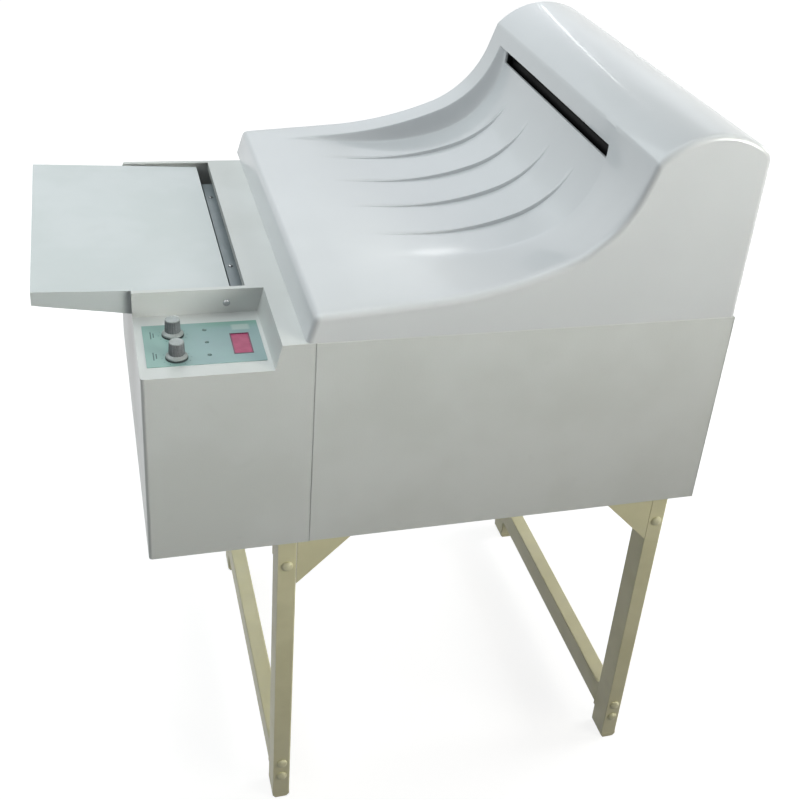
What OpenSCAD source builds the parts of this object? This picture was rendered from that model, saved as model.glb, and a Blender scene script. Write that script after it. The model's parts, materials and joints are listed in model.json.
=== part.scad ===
// Floor-standing film processor: feed tray, three chemical tanks, dryer hood and receiving tray on a tube stand.
// Modules work in bench coordinates: X from the feed end, Y from the front face, Z from the floor.

/* [Cabinet] */
// Length of the dryer's part, from the tanks to the dryer end
dryer_l = 140; // [130:1:180]
// Length of the shelf from the ledge to the vertical seam
shelf_l = 47; // [45:1:60]
// Room behind the tanks, up to the back of the feed end
feed_room = 10.5; // [8:0.5:20]
// How far the feed end is set in at the back
back_step = 40; // [32:1:60]
// Height of the lower edge of the side panels
skirt_z = 495; // [440:1:540]
// Height of the shelf and of the panels' upper edge
deck_z = 790; // [770:1:840]
// Height of the skirt that hides the stand's upper frame
skirt_h = 45; // [42:1:60]
// Thickness of the sheet steel
sheet_t = 1.5; // [1.2:0.1:2]

/* [Control ledge] */
// Length of the ledge along its floor
ledge_l = 152; // [140:1:170]
// Depth of the ledge from the front face to the feed wall
ledge_d = 148; // [135:1:165]
// Drop from the shelf down to the ledge
ledge_drop = 33; // [28:1:38]
// Lean of the ledge's right-hand wall
ledge_draft = 8; // [2:1:12]
// Diameter of a knob's body
knob_d = 19; // [14:0.5:24]
// Height of a knob
knob_h = 20; // [14:0.5:26]

/* [Feed tray] */
// Reach of the tray beyond the feed end
tray_out = 115; // [80:1:150]
// Gap between the tray and the ledge's back wall
tray_gap_front = 9; // [8:0.5:14]
// Gap between the tray and the back of the feed end
tray_gap_rear = 13; // [8:0.5:16]
// Slope of the tray down towards the machine
tray_slope = 2; // [0:0.5:3]
// Height of the tray's flange at its outer end
tray_lip = 18; // [12:1:22]

/* [Top cover] */
// Height of the step from the shelf up to the cover
step_h = 35; // [28:1:42]
// Lean of the step
step_draft = 10; // [4:1:14]
// Radius of the dryer hood
hood_r = 109; // [104:1:114]
// Height of the hood's crown above the shelf
hood_rise = 251; // [240:1:265]
// Radius of the receiving tray's sweep up to the hood
sweep_r = 158; // [145:1:165]
// Greatest depth of the receiving tray below the cover's upper edge
recess_depth = 30; // [16:1:34]
// Thickness of the cover's moulding
cover_t = 3.5; // [2.5:0.5:5]
// Round of the cover's front and back edges
cover_round = 8; // [5:0.5:12]
// Number of film ribs in the receiving tray
rib_count = 4; // [2:1:5]
// Height of a film rib
rib_h = 5; // [2:0.5:7]
// Height of the film exit slot
slot_h = 18.5; // [14:0.5:24]
// Height along the rise at which the hood's lip overhangs the exit slot
lip_up = 11; // [9:0.5:16]

/* [Film path] */
// Length of the rollers
roller_l = 405; // [360:1:460]
// Diameter of the driven rollers
roller_d = 24; // [20:0.5:24]
// Diameter of the turn roller at the bottom of each rack
turn_d = 60; // [50:1:64]
// Length of one tank well with its wall
well_l = 135; // [130:1:140]
// Thickness of the tank's wall
tank_t = 4; // [3:0.5:5]
// Thickness of a rack's side plate
plate_t = 6; // [4:0.5:6]
// Gap left between two rollers for the film
film_gap = 0.4; // [0.3:0.05:0.6]

/* [Drive] */
// Number of teeth on a worm wheel
wheel_n = 20; // [18:1:22]
// Tooth module of the worms and wheels
gear_m = 2; // [1.6:0.1:2.2]
// Diameter of the worm shaft
shaft_d = 10; // [8:0.5:10]
// Distance of the worm shaft in front of the tanks
drive_reach = 28.5; // [26:0.5:34]
// Radial clearance of everything that turns
run_gap = 0.05; // [0.03:0.01:0.08]

/* [Stand] */
// Width of the stand's tube, seen from the front
tube_w = 25; // [20:1:30]
// Depth of the stand's tube
tube_h = 40; // [35:1:42]
// Wall of the stand's tube
tube_t = 1.5; // [1.2:0.1:3]
// Distance from the feed end to the left legs
leg_left_x = 161; // [120:1:200]
// Distance from the dryer end to the right legs
leg_right_x = 32; // [20:1:80]
// Setback of the legs behind the front face
leg_inset = 9; // [4:1:20]
// Height of the low rails' middle
low_rail_z = 60; // [50:1:120]
// Length of a gusset plate's side
gusset_l = 82; // [60:1:110]
// Diameter of a stand bolt's head
bolt_head_d = 15; // [12:0.5:17]

/* [Hidden] */

$fn = 48;
eps = 0.01;
// Gap between painted panels, and between pieces that only rest on each other
seam = 0.5;
rest_gap = 0.3;
white = [0.86, 0.88, 0.9];
panel_grey = [0.7, 0.71, 0.67];
stand_paint = [0.57, 0.56, 0.44];
steel = [0.72, 0.73, 0.74];
dark = [0.13, 0.13, 0.14];
pvc_grey = [0.5, 0.52, 0.54];

// Levels
frame_z = skirt_z + skirt_h;
floor_z = frame_z + sheet_t;
ledge_z = deck_z - ledge_drop;
cover_z = deck_z + rest_gap;
roller_drop = 38;
rim_drop = 17;
roller_z = deck_z - roller_drop;
rim_z = roller_z - rim_drop;

// Places front to back: the ledge, the film path, the racks and tanks, the feed end and the cabinet
plate_gap = 2;
tank_gap = 3;
film_y0 = ledge_d + sheet_t;
film_y1 = film_y0 + roller_l;
film_y = (film_y0 + film_y1) / 2;
plate_y = [film_y0 - plate_gap - plate_t, film_y1 + plate_gap];
rack_y0 = plate_y[0];
rack_y1 = plate_y[1] + plate_t;
tank_y0 = rack_y0 - tank_gap - tank_t;
tank_y1 = rack_y1 + tank_gap + tank_t;
drive_y = tank_y0 - drive_reach;
feed_d = tank_y1 + feed_room;
body_d = feed_d + back_step;

// Places along the machine: the feed end, the tanks and the dryer
tank_room = 5;
feed_l = ledge_l + shelf_l;
panel_x0 = feed_l + seam;
tank_x0 = panel_x0 + sheet_t + tank_room;
tank_x1 = tank_x0 + 3 * well_l + tank_t;
body_l = tank_x1 + dryer_l;

// The frame's origin lies under the middle of the object
mid_x = (body_l - tray_out) / 2;
mid_y = body_d / 2;
module placed() {
    translate([-mid_x, -mid_y, 0]) children();
}

// A box from one corner to the other
module box(a, b) {
    translate(a) cube(b - a);
}

// A cylinder along Y, from y0 to y1, about a point of the XZ plane
module rod_y(p, r, y0, y1) {
    translate([p[0], y1, p[1]]) rotate([90, 0, 0]) cylinder(r = r, h = y1 - y0);
}

// A cylinder along X, from x0 to x1, about a point of the YZ plane
module rod_x(p, r, x0, x1) {
    translate([x0, p[0], p[1]]) rotate([0, 90, 0]) cylinder(r = r, h = x1 - x0);
}

// An XZ outline made solid from y0 to y1
module slab_y(y0, y1) {
    translate([0, y1, 0]) rotate([90, 0, 0]) linear_extrude(y1 - y0) children();
}

// A box with round vertical edges at its low-X end only
module front_round_box(a, b, r) {
    translate([a[0], a[1], a[2]]) linear_extrude(b[2] - a[2]) union() {
        translate([r, 0]) square([b[0] - a[0] - r, b[1] - a[1]]);
        translate([0, r]) square([r + eps, b[1] - a[1] - 2 * r]);
        translate([r, r]) circle(r);
        translate([r, b[1] - a[1] - r]) circle(r);
    }
}

// A rectangular tube along Z, with its corner at the origin
module tube_z(w, d, h) {
    difference() {
        cube([w, d, h]);
        translate([tube_t, tube_t, -1]) cube([w - 2 * tube_t, d - 2 * tube_t, h + 2]);
    }
}

// The stand: four legs, two low rails, the frame under the cabinet and the gussets
leg_back_y = feed_d - leg_inset - tube_h;
leg_x = [leg_left_x, body_l - leg_right_x - tube_w];
leg_y = [leg_inset, leg_back_y];
foot_h = 9;
bolt_r = 3;
bolt_hole_r = 3.2;
bolt_head_h = 5;
nut_r = 5.77;
nut_h = 5;
end_plate_t = 4;
low_bolt_pitch = 26;
upper_bolt_drop = 45;
// Heights of the bolts through each leg, low rail first
bolt_zs = [low_rail_z - low_bolt_pitch / 2, low_rail_z + low_bolt_pitch / 2,
    skirt_z - upper_bolt_drop, frame_z - tube_h / 2];
front_bolt_y = leg_inset;
rear_bolt_y = leg_back_y + tube_h;

// The holes through a leg, from its outer face to the rail's end plate
module bolt_holes(x, y0, y1) {
    for (z = bolt_zs) rod_y([x + tube_w / 2, z], bolt_hole_r, y0, y1);
}

module leg(col, row) {
    color(stand_paint) placed() difference() {
        translate([leg_x[col], leg_y[row], foot_h]) tube_z(tube_w, tube_h, frame_z - foot_h);
        bolt_holes(leg_x[col], leg_y[row] - 1, leg_y[row] + tube_h + 1);
    }
}

// A moulded glide that closes a leg's lower end, with clipped corners
module foot_plug(x, y) {
    clip = 4;
    translate([x, y, 0]) {
        translate([0, tube_h, 0]) rotate([90, 0, 0]) linear_extrude(tube_h)
            polygon([[clip, 0], [tube_w - clip, 0], [tube_w, clip + 1], [tube_w, foot_h], [0, foot_h], [0, clip + 1]]);
        translate([tube_t + 0.2, tube_t + 0.2, foot_h - eps])
            cube([tube_w - 2 * tube_t - 0.4, tube_h - 2 * tube_t - 0.4, 14]);
    }
}

module foot_plugs() {
    color(stand_paint) placed() for (x = leg_x, y = leg_y) foot_plug(x, y);
}

// A rail from the front leg to the rear leg, with an end plate welded on each end
module cross_rail(x, z0, plate_z0, plate_z1) {
    rail_y0 = leg_inset + tube_h;
    rail_y1 = leg_back_y;
    difference() {
        union() {
            difference() {
                box([x, rail_y0, z0], [x + tube_w, rail_y1, z0 + tube_h]);
                box([x + tube_t, rail_y0 - 1, z0 + tube_t], [x + tube_w - tube_t, rail_y1 + 1, z0 + tube_h - tube_t]);
            }
            for (y = [rail_y0, rail_y1 - end_plate_t])
                box([x, y, plate_z0], [x + tube_w, y + end_plate_t, plate_z1]);
        }
        bolt_holes(x, rail_y0 - 1, rail_y1 + 1);
    }
}

module low_rail(col) {
    plate_h = low_bolt_pitch / 2 + 12;
    color(stand_paint) placed()
        cross_rail(leg_x[col], low_rail_z - tube_h / 2, low_rail_z - plate_h, low_rail_z + plate_h);
}

// Two cross rails and two long rails that the cabinet stands on
module upper_frame() {
    color(stand_paint) placed() {
        for (x = leg_x) cross_rail(x, frame_z - tube_h, skirt_z - upper_bolt_drop - 12, frame_z);
        for (y = [leg_inset, leg_back_y + tube_h - tube_w])
            translate([leg_x[0] + tube_w + rest_gap, y, frame_z - tube_h]) rotate([90, 0, 90])
                tube_z(tube_w, tube_h, leg_x[1] - leg_x[0] - tube_w - 2 * rest_gap);
    }
}

// Triangular plates between each leg and the long rails, flush with the outer faces
module gusset_plates() {
    plate = 3;
    top_z = frame_z - tube_h - rest_gap;
    color(stand_paint) placed() for (y = [leg_inset, rear_bolt_y - plate]) slab_y(y, y + plate) {
        x0 = leg_x[0] + tube_w + rest_gap;
        x1 = leg_x[1] - rest_gap;
        polygon([[x0, top_z], [x0 + gusset_l, top_z], [x0, top_z - gusset_l]]);
        polygon([[x1, top_z], [x1, top_z - gusset_l], [x1 - gusset_l, top_z]]);
    }
}

// A domed bolt along +Y, with its head's face at the origin
module stand_bolt() {
    grip = tube_h + end_plate_t + nut_h + 2;
    rotate([-90, 0, 0]) {
        cylinder(r = bolt_r, h = grip);
        intersection() {
            translate([0, 0, -bolt_head_h]) cylinder(d = bolt_head_d, h = bolt_head_h);
            translate([0, 0, bolt_head_d * 0.55 - bolt_head_h]) sphere(r = bolt_head_d * 0.55);
        }
    }
}

module stand_bolts() {
    color(steel) placed() for (x = leg_x, z = bolt_zs) {
        translate([x + tube_w / 2, front_bolt_y, z]) stand_bolt();
        translate([x + tube_w / 2, rear_bolt_y, z]) mirror([0, 1, 0]) stand_bolt();
    }
}

module stand_nuts() {
    y0 = leg_inset + tube_h + end_plate_t;
    y1 = leg_back_y - end_plate_t - nut_h;
    color(steel) placed() for (x = leg_x, y = [y0, y1], z = bolt_zs)
        translate([x + tube_w / 2, y + nut_h, z]) rotate([90, 0, 0]) difference() {
            cylinder(r = nut_r, h = nut_h, $fn = 6);
            translate([0, 0, -1]) cylinder(r = bolt_r + run_gap, h = nut_h + 2);
        }
}

// The cabinet: base pan, panels and the feed end's cover
pan_flange = leg_inset - 1;
rear_y = body_d - 2.5;
panel_x1 = body_l - sheet_t;

module base_pan() {
    pan_x1 = panel_x1 - sheet_t - seam;
    back_y = rear_y - sheet_t - seam;
    color(panel_grey) placed() difference() {
        union() {
            front_round_box([sheet_t + seam, sheet_t + seam, frame_z], [feed_l - seam, feed_d - sheet_t - seam, floor_z], corner_r - sheet_t);
            box([feed_l - seam - eps, pan_flange + seam, frame_z], [panel_x0 + sheet_t + seam, feed_d - sheet_t - seam, floor_z]);
            box([panel_x0 + sheet_t + seam - eps, sheet_t + seam, frame_z], [pan_x1, back_y, floor_z]);
        }
        for (x = drain_xs) translate([x, drain_y, frame_z - 1]) cylinder(r = spigot_r + 0.2, h = sheet_t + 2);
    }
}

// A flat panel with its four edges turned in by the same flange
module tray_panel(a, b, outward) {
    y0 = outward < 0 ? a[1] + sheet_t : a[1] - 1;
    y1 = outward < 0 ? b[1] + 1 : b[1] - sheet_t;
    difference() {
        box(a, b);
        box([a[0] + sheet_t, y0, a[2] + sheet_t], [b[0] - sheet_t, y1, b[2] - sheet_t]);
    }
}

// Plain holes for the end panel's screws
module end_holes() {
    for (p = end_screws) rod_x(p, screw_r + 0.15, panel_x1 - screw_l, body_l + 1);
}

module front_panel() {
    color(panel_grey) placed() difference() {
        tray_panel([panel_x0, 0, skirt_z], [panel_x1, pan_flange, deck_z], -1);
        end_holes();
    }
}

// Rows of cooling slots in the rear panel, behind the dryer
louvre_end = 35;
louvre_l = 70;
louvre_x = [for (k = [2 : -1 : 0]) body_l - louvre_end - k * louvre_l];
louvre_gap = 20;
louvre_rows = 7;
louvre_pitch = 12;
louvre_rise = 60;
louvre_z0 = frame_z + louvre_rise;

module rear_panel() {
    color(panel_grey) placed() difference() {
        union() {
            tray_panel([panel_x0, rear_y - pan_flange, skirt_z], [panel_x1, rear_y, deck_z], 1);
            box([panel_x0, feed_d + seam, skirt_z], [panel_x0 + sheet_t, rear_y - pan_flange + eps, deck_z]);
        }
        for (k = [0 : louvre_rows - 1], c = [0 : 1])
            translate([louvre_x[c], rear_y + 1, louvre_z0 + k * louvre_pitch]) rotate([90, 0, 0])
                linear_extrude(sheet_t + 2) union() {
                    square([louvre_l - louvre_gap, 4]);
                    translate([0, 2]) circle(2);
                    translate([louvre_l - louvre_gap, 2]) circle(2);
                }
        box([inlet_x - inlet_w / 2 + 2, rear_y - sheet_t - 1, inlet_z - inlet_h / 2 + 2],
            [inlet_x + inlet_w / 2 - 2, rear_y + 1, inlet_z + inlet_h / 2 - 2]);
        for (p = rear_screws) countersink_y(p);
        end_holes();
    }
}

// Countersunk panel screws, flush with the sheet
screw_r = 2;
head_r = 4;
screw_l = 9;
low_screw = 60;
top_screw = 40;
first_screw = 110;
last_screw = 8;
edge_screw = 10;
end_screws = [for (y = [pan_flange - 3, rear_y - pan_flange + 3], z = [skirt_z + low_screw, (skirt_z + deck_z) / 2, deck_z - top_screw]) [y, z]];
rear_screws = [for (x = [panel_x0 + first_screw, (panel_x0 + panel_x1) / 2, panel_x1 - last_screw],
    z = [skirt_z + edge_screw, deck_z - edge_screw]) [x, z]];

module countersink_x(p) {
    translate([body_l - screw_l - 2, p[0], p[1]]) rotate([0, 90, 0]) cylinder(r = screw_r + 0.15, h = screw_l + 4);
    translate([body_l - sheet_t - 0.6, p[0], p[1]]) rotate([0, 90, 0])
        cylinder(r1 = screw_r + 0.15, r2 = head_r + 0.25, h = sheet_t + 0.61);
}

module countersink_y(p) {
    translate([p[0], rear_y + 1, p[1]]) rotate([90, 0, 0]) cylinder(r = screw_r + 0.15, h = 4);
    translate([p[0], rear_y - sheet_t - 0.6, p[1]]) rotate([-90, 0, 0])
        cylinder(r1 = screw_r + 0.15, r2 = head_r + 0.25, h = sheet_t + 0.61);
}

// A countersunk screw along -Z with its head's top at the origin
module panel_screw() {
    difference() {
        union() {
            translate([0, 0, -screw_l]) cylinder(r = screw_r, h = screw_l - sheet_t);
            translate([0, 0, -sheet_t - eps]) cylinder(r1 = screw_r, r2 = head_r, h = sheet_t);
        }
        for (a = [0, 90]) rotate([0, 0, a]) translate([-2.2, -0.4, -0.7]) cube([4.4, 0.8, 2]);
    }
}

module panel_screws() {
    color(steel) placed() {
        for (p = end_screws) translate([body_l, p[0], p[1]]) rotate([0, 90, 0]) panel_screw();
        for (p = rear_screws) translate([p[0], rear_y, p[1]]) rotate([-90, 0, 0]) panel_screw();
    }
}

module right_end_panel() {
    color(panel_grey) placed() difference() {
        union() {
            box([panel_x1, 0, skirt_z], [body_l, rear_y, deck_z]);
            for (z = [skirt_z, deck_z - sheet_t])
                box([body_l - pan_flange, pan_flange + seam, z], [body_l, rear_y - pan_flange - seam, z + sheet_t]);
        }
        for (p = end_screws) countersink_x(p);
    }
}

// The outline of the ledge's recess, grown by a margin, as a solid
ledge_top_x = ledge_l + ledge_draft;
module ledge_void(grow) {
    slab_y(-1, ledge_d + grow) polygon([[-1, ledge_z - grow], [ledge_l + grow, ledge_z - grow],
        [ledge_top_x + grow + ledge_draft * 2 / ledge_drop, deck_z + 2], [-1, deck_z + 2]]);
}

step_in_x = 11;
cover_step_x = feed_l - step_in_x;
channel_in = 14;
channel_x = ledge_l - channel_in;
rail_lip = 6;
tray_y0 = ledge_d + tray_gap_front;
tray_w = feed_d - tray_gap_rear - tray_y0;
tray_y1 = tray_y0 + tray_w;
corner_r = 5;
knob_x = 44;
first_knob = 43;
knob_pitch = 54;
knob_ys = [first_knob, first_knob + knob_pitch];
pot_r = 4.5;
pivot_in = 24;
pivot_drop = 19;
pivot_x = channel_x - pivot_in;
pivot_z = deck_z - pivot_drop;
pivot_r = 2.5;

module feed_end_cover() {
    wall = sheet_t;
    color(panel_grey) placed() difference() {
        union() {
            difference() {
                front_round_box([0, 0, skirt_z], [feed_l, feed_d, deck_z], corner_r);
                ledge_void(0);
                difference() {
                    front_round_box([wall, wall, skirt_z - 1], [feed_l + 1, feed_d - wall, deck_z - wall], corner_r - wall);
                    ledge_void(wall);
                }
                box([-1, ledge_d + wall + rail_lip, ledge_z], [channel_x, feed_d - wall - rail_lip, deck_z + 1]);
                box([-1, ledge_d + wall, ledge_z], [channel_x, feed_d - wall, deck_z - wall]);
                slab_y(feed_d / 2, feed_d + 1) polygon([[-1, deck_z + 1], [-1, ledge_z], [2, ledge_z], [14, deck_z + 1]]);
            }
            box([channel_x, ledge_d + wall + rail_lip, deck_z - 12], [channel_x + wall, feed_d - wall - rail_lip, deck_z - eps]);
        }
        for (y = knob_ys) translate([knob_x, y, ledge_z - 10]) cylinder(r = pot_r + 0.2, h = 20);
        box([display_x, display_y - 1, ledge_z - 10], [display_x + display_w, display_y + display_l + 1, ledge_z + 5]);
        for (y = lens_ys) translate([lens_x, y, ledge_z - 10]) cylinder(r = lens_r + 0.2, h = 20);
        rod_y([pivot_x, pivot_z], pivot_r + 0.1, ledge_d - 2, ledge_d + wall + 2);
        rod_y([pivot_x, pivot_z], pivot_r + 0.1, feed_d - wall - 2, feed_d + 2);
    }
}

// The control panel: membrane, display window, indicator lenses, board and knobs
fascia_t = 0.8;
fascia_x0 = 9;
fascia_x1 = ledge_l - 5;
fascia_edge = 25;
fascia_y0 = fascia_edge;
fascia_y1 = ledge_d - fascia_edge;
display_in = 41;
display_x = ledge_l - display_in;
display_w = 22;
display_y = 44;
display_l = 48;
lens_in = 70;
lens_x = ledge_l - lens_in;
first_lens = 45;
lens_pitch = 30;
lens_ys = [for (k = [0 : 2]) first_lens + k * lens_pitch];
lens_r = 2.5;
post_h = 12.4;
board_t = 1.6;
board_z = ledge_z - sheet_t - post_h - board_t;
board_edge = 3;

module control_fascia() {
    color([0.57, 0.69, 0.66]) placed() difference() {
        box([fascia_x0, fascia_y0, ledge_z], [fascia_x1, fascia_y1, ledge_z + fascia_t]);
        for (y = knob_ys) translate([knob_x, y, ledge_z - 1]) cylinder(r = pot_r + 0.2, h = 4);
        box([display_x, display_y, ledge_z - 1], [display_x + display_w, display_y + display_l, ledge_z + 2]);
        for (y = lens_ys) translate([lens_x, y, ledge_z - 1]) cylinder(r = lens_r + 0.1, h = 4);
    }
}

module display_window() {
    color([0.72, 0.3, 0.45]) placed()
        box([display_x + 0.2, display_y + 0.2, ledge_z - 4], [display_x + display_w - 0.2, display_y + display_l - 0.2, ledge_z + 0.5]);
}

module indicator_lenses() {
    color([0.35, 0.5, 0.45]) placed() for (y = lens_ys) translate([lens_x, y, board_z + board_t]) {
        cylinder(r = lens_r, h = ledge_z - board_z - board_t + fascia_t);
        translate([0, 0, ledge_z - board_z - board_t + fascia_t - eps]) intersection() {
            cylinder(r = lens_r, h = 2);
            translate([0, 0, -2]) sphere(r = 3.2);
        }
    }
}

// The board hangs below the ledge on four posts and carries the display and two potentiometers
module control_board() {
    color([0.12, 0.32, 0.2]) placed() difference() {
        union() {
            box([fascia_x0 + 5, fascia_y0 + board_edge, board_z], [fascia_x1 - board_edge, fascia_y1 - board_edge, board_z + board_t]);
            for (x = [fascia_x0 + 10, fascia_x1 - board_edge - 5], y = [fascia_y0 + board_edge + 5, fascia_y1 - board_edge - 5])
                translate([x, y, board_z + board_t - eps]) cylinder(r = 3, h = post_h + eps);
            box([display_x - 1, display_y + 1, board_z + board_t - eps], [display_x + display_w + 1, display_y + display_l - 1, ledge_z - 4.2]);
            for (y = knob_ys) translate([knob_x, y, board_z + board_t - eps]) {
                cylinder(r = 8, h = 10);
                cylinder(r = pot_r, h = ledge_z - board_z - board_t + fascia_t + 1);
            }
        }
        for (y = knob_ys) translate([knob_x, y, board_z + 4]) cylinder(r = 3 + run_gap, h = 40);
    }
}

// A fluted knob with a skirt; its spindle turns in the potentiometer's bush
module knob(y) {
    skirt_r = knob_d * 0.66;
    flutes = 18;
    base_z = ledge_z + fascia_t + 2;
    color([0.45, 0.46, 0.47]) placed() translate([knob_x, y, base_z]) {
        difference() {
            union() {
                cylinder(r = skirt_r, h = 1.8);
                translate([0, 0, 1.8]) cylinder(r1 = skirt_r - 0.4, r2 = knob_d / 2 + 0.2, h = 2.4);
            }
            translate([0, 0, -1]) cylinder(r = pot_r + 0.6, h = 2);
        }
        translate([0, 0, 4]) linear_extrude(knob_h - 5) difference() {
            circle(knob_d / 2);
            for (k = [0 : flutes - 1]) rotate(k * 360 / flutes) translate([knob_d / 2 + 0.4, 0]) circle(1, $fn = 12);
        }
        translate([0, 0, knob_h - 1 - eps]) cylinder(r = knob_d / 2 - 2, h = 1 + eps);
        translate([0, 0, board_z + 6 - base_z]) cylinder(r = 3, h = base_z - board_z - 4);
    }
}

// The feed tray: a folded sheet that pivots on two side screws
tray_right_x = pivot_x + 6;
tray_end_z = deck_z - 5;
tray_rest_z = ledge_z + rest_gap;
swing_r = pivot_z - tray_rest_z;
// Height of the tray's face at a place along X
function tray_top(x) = tray_end_z + (tray_right_x - x) * tan(tray_slope);

// The side outline of the tray's flange, with a round end about the pivot
module tray_outline(cut) {
    polygon(concat([[-tray_out + cut, tray_top(-tray_out) - cut], [tray_right_x + cut, tray_end_z - cut]],
        [for (a = [10 : -20 : -90]) [pivot_x + (swing_r * cos(a) > 6 ? 6 : swing_r * cos(a)) + cut, pivot_z + swing_r * sin(a) - cut * 20]],
        [[sheet_t, tray_rest_z - cut * 20], [0, tray_rest_z - cut * 20], [-tray_out + cut, tray_top(-tray_out) - tray_lip - cut * 20]]));
}

module feed_tray() {
    color(white) placed() difference() {
        slab_y(tray_y0, tray_y1) tray_outline(0);
        slab_y(tray_y0 + sheet_t, tray_y1 - sheet_t) tray_outline(sheet_t);
        rod_y([pivot_x, pivot_z], pivot_r + run_gap, tray_y0 - 1, tray_y1 + 1);
    }
}

// The side screws, each with a spacer up to the tray's flange
module tray_pivots() {
    color(steel) placed() {
        for (side = [[ledge_d, tray_y0, 1], [feed_d, tray_y1, -1]]) {
            inner = side[1] + side[2] * (sheet_t + 1);
            lo = min(side[0] - side[2] * 2.4, inner);
            hi = max(side[0] - side[2] * 2.4, inner);
            face = side[0] + side[2] * (sheet_t + rest_gap);
            near = side[1] - side[2] * rest_gap;
            rod_y([pivot_x, pivot_z], pivot_r, lo, hi);
            rod_y([pivot_x, pivot_z], 4.5, min(side[0], side[0] - side[2] * 2.4), max(side[0], side[0] - side[2] * 2.4));
            rod_y([pivot_x, pivot_z], 4.5, min(face, near), max(face, near));
        }
    }
}

// Rollers, racks and tanks
r_drive = roller_d / 2;
r_turn = turn_d / 2;
r_journal = 4;
pair = r_drive + film_gap / 2;
// Place of each rack's film nip along X
nip_in = 42;
function nip_x(k) = tank_x0 + tank_t + k * well_l + nip_in;

pitch_r = gear_m * wheel_n / 2;
worm_r = 9;
worm_z = roller_z - pitch_r - worm_r;
wheel_w = 6;
addendum = gear_m * 0.9;
dedendum = gear_m * 1.2;

// A straight-cut worm wheel, one tooth pointing straight down
module worm_wheel(p) {
    tip_r = pitch_r + addendum;
    root_r = pitch_r - dedendum;
    pitch_w = gear_m * 1.1;
    slope = 0.36;
    translate([0, drive_y + wheel_w / 2, 0]) translate([p[0], 0, p[1]]) rotate([90, 0, 0]) linear_extrude(wheel_w)
        union() {
            circle(root_r);
            for (k = [0 : wheel_n - 1]) rotate(-90 + k * 360 / wheel_n)
                polygon([[root_r - 1, -pitch_w / 2 - slope * dedendum], [tip_r, -pitch_w / 2 + slope * addendum],
                    [tip_r, pitch_w / 2 - slope * addendum], [root_r - 1, pitch_w / 2 + slope * dedendum]]);
        }
}

// A roller with its two journals running in the side plates
module roller(p, r, front_y) {
    rod_y(p, r, film_y0, film_y1);
    rod_y(p, r_journal, front_y, rack_y1 + 2);
}

module driven_roller(p) {
    color([0.25, 0.26, 0.28]) placed() {
        roller(p, r_drive, drive_y - wheel_w / 2 - 3);
        worm_wheel(p);
    }
}

module plain_roller(p, r) {
    color([0.3, 0.31, 0.33]) placed() roller(p, r, rack_y0 - 2);
}

// A tube on three spokes and a middle web, about its own shaft
module turn_roller(p) {
    wall = 5;
    spoke = 8;
    color([0.3, 0.31, 0.33]) placed() {
        difference() {
            rod_y(p, r_turn, film_y0, film_y1);
            rod_y(p, r_turn - wall, film_y0 - 1, film_y - spoke / 2);
            rod_y(p, r_turn - wall, film_y + spoke / 2, film_y1 + 1);
        }
        rod_y(p, r_journal, rack_y0 - 2, rack_y1 + 2);
        for (y = [film_y0, film_y1 - spoke]) {
            rod_y(p, r_journal + 5, y, y + spoke);
            translate([p[0], y, p[1]]) for (a = [30, 150, 270]) rotate([0, a, 0])
                translate([0, 0, -spoke / 2]) cube([r_turn - wall / 2, spoke, spoke]);
        }
    }
}

module tank_block() {
    color(pvc_grey) placed() difference() {
        box([tank_x0, tank_y0, floor_z], [tank_x1, tank_y1, rim_z]);
        for (k = [0 : 2])
            box([tank_x0 + tank_t + k * well_l, tank_y0 + tank_t, floor_z + tank_t],
                [tank_x0 + (k + 1) * well_l, tank_y1 - tank_t, rim_z + 1]);
    }
}

// Holes for the journals through a pair of side plates
module journal_holes(points) {
    for (p = points) rod_y(p, r_journal + run_gap, rack_y0 - 1, rack_y1 + 1);
}

turn_z = floor_z + tank_t + 12 + r_turn;
guide_t = 1.5;

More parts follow.
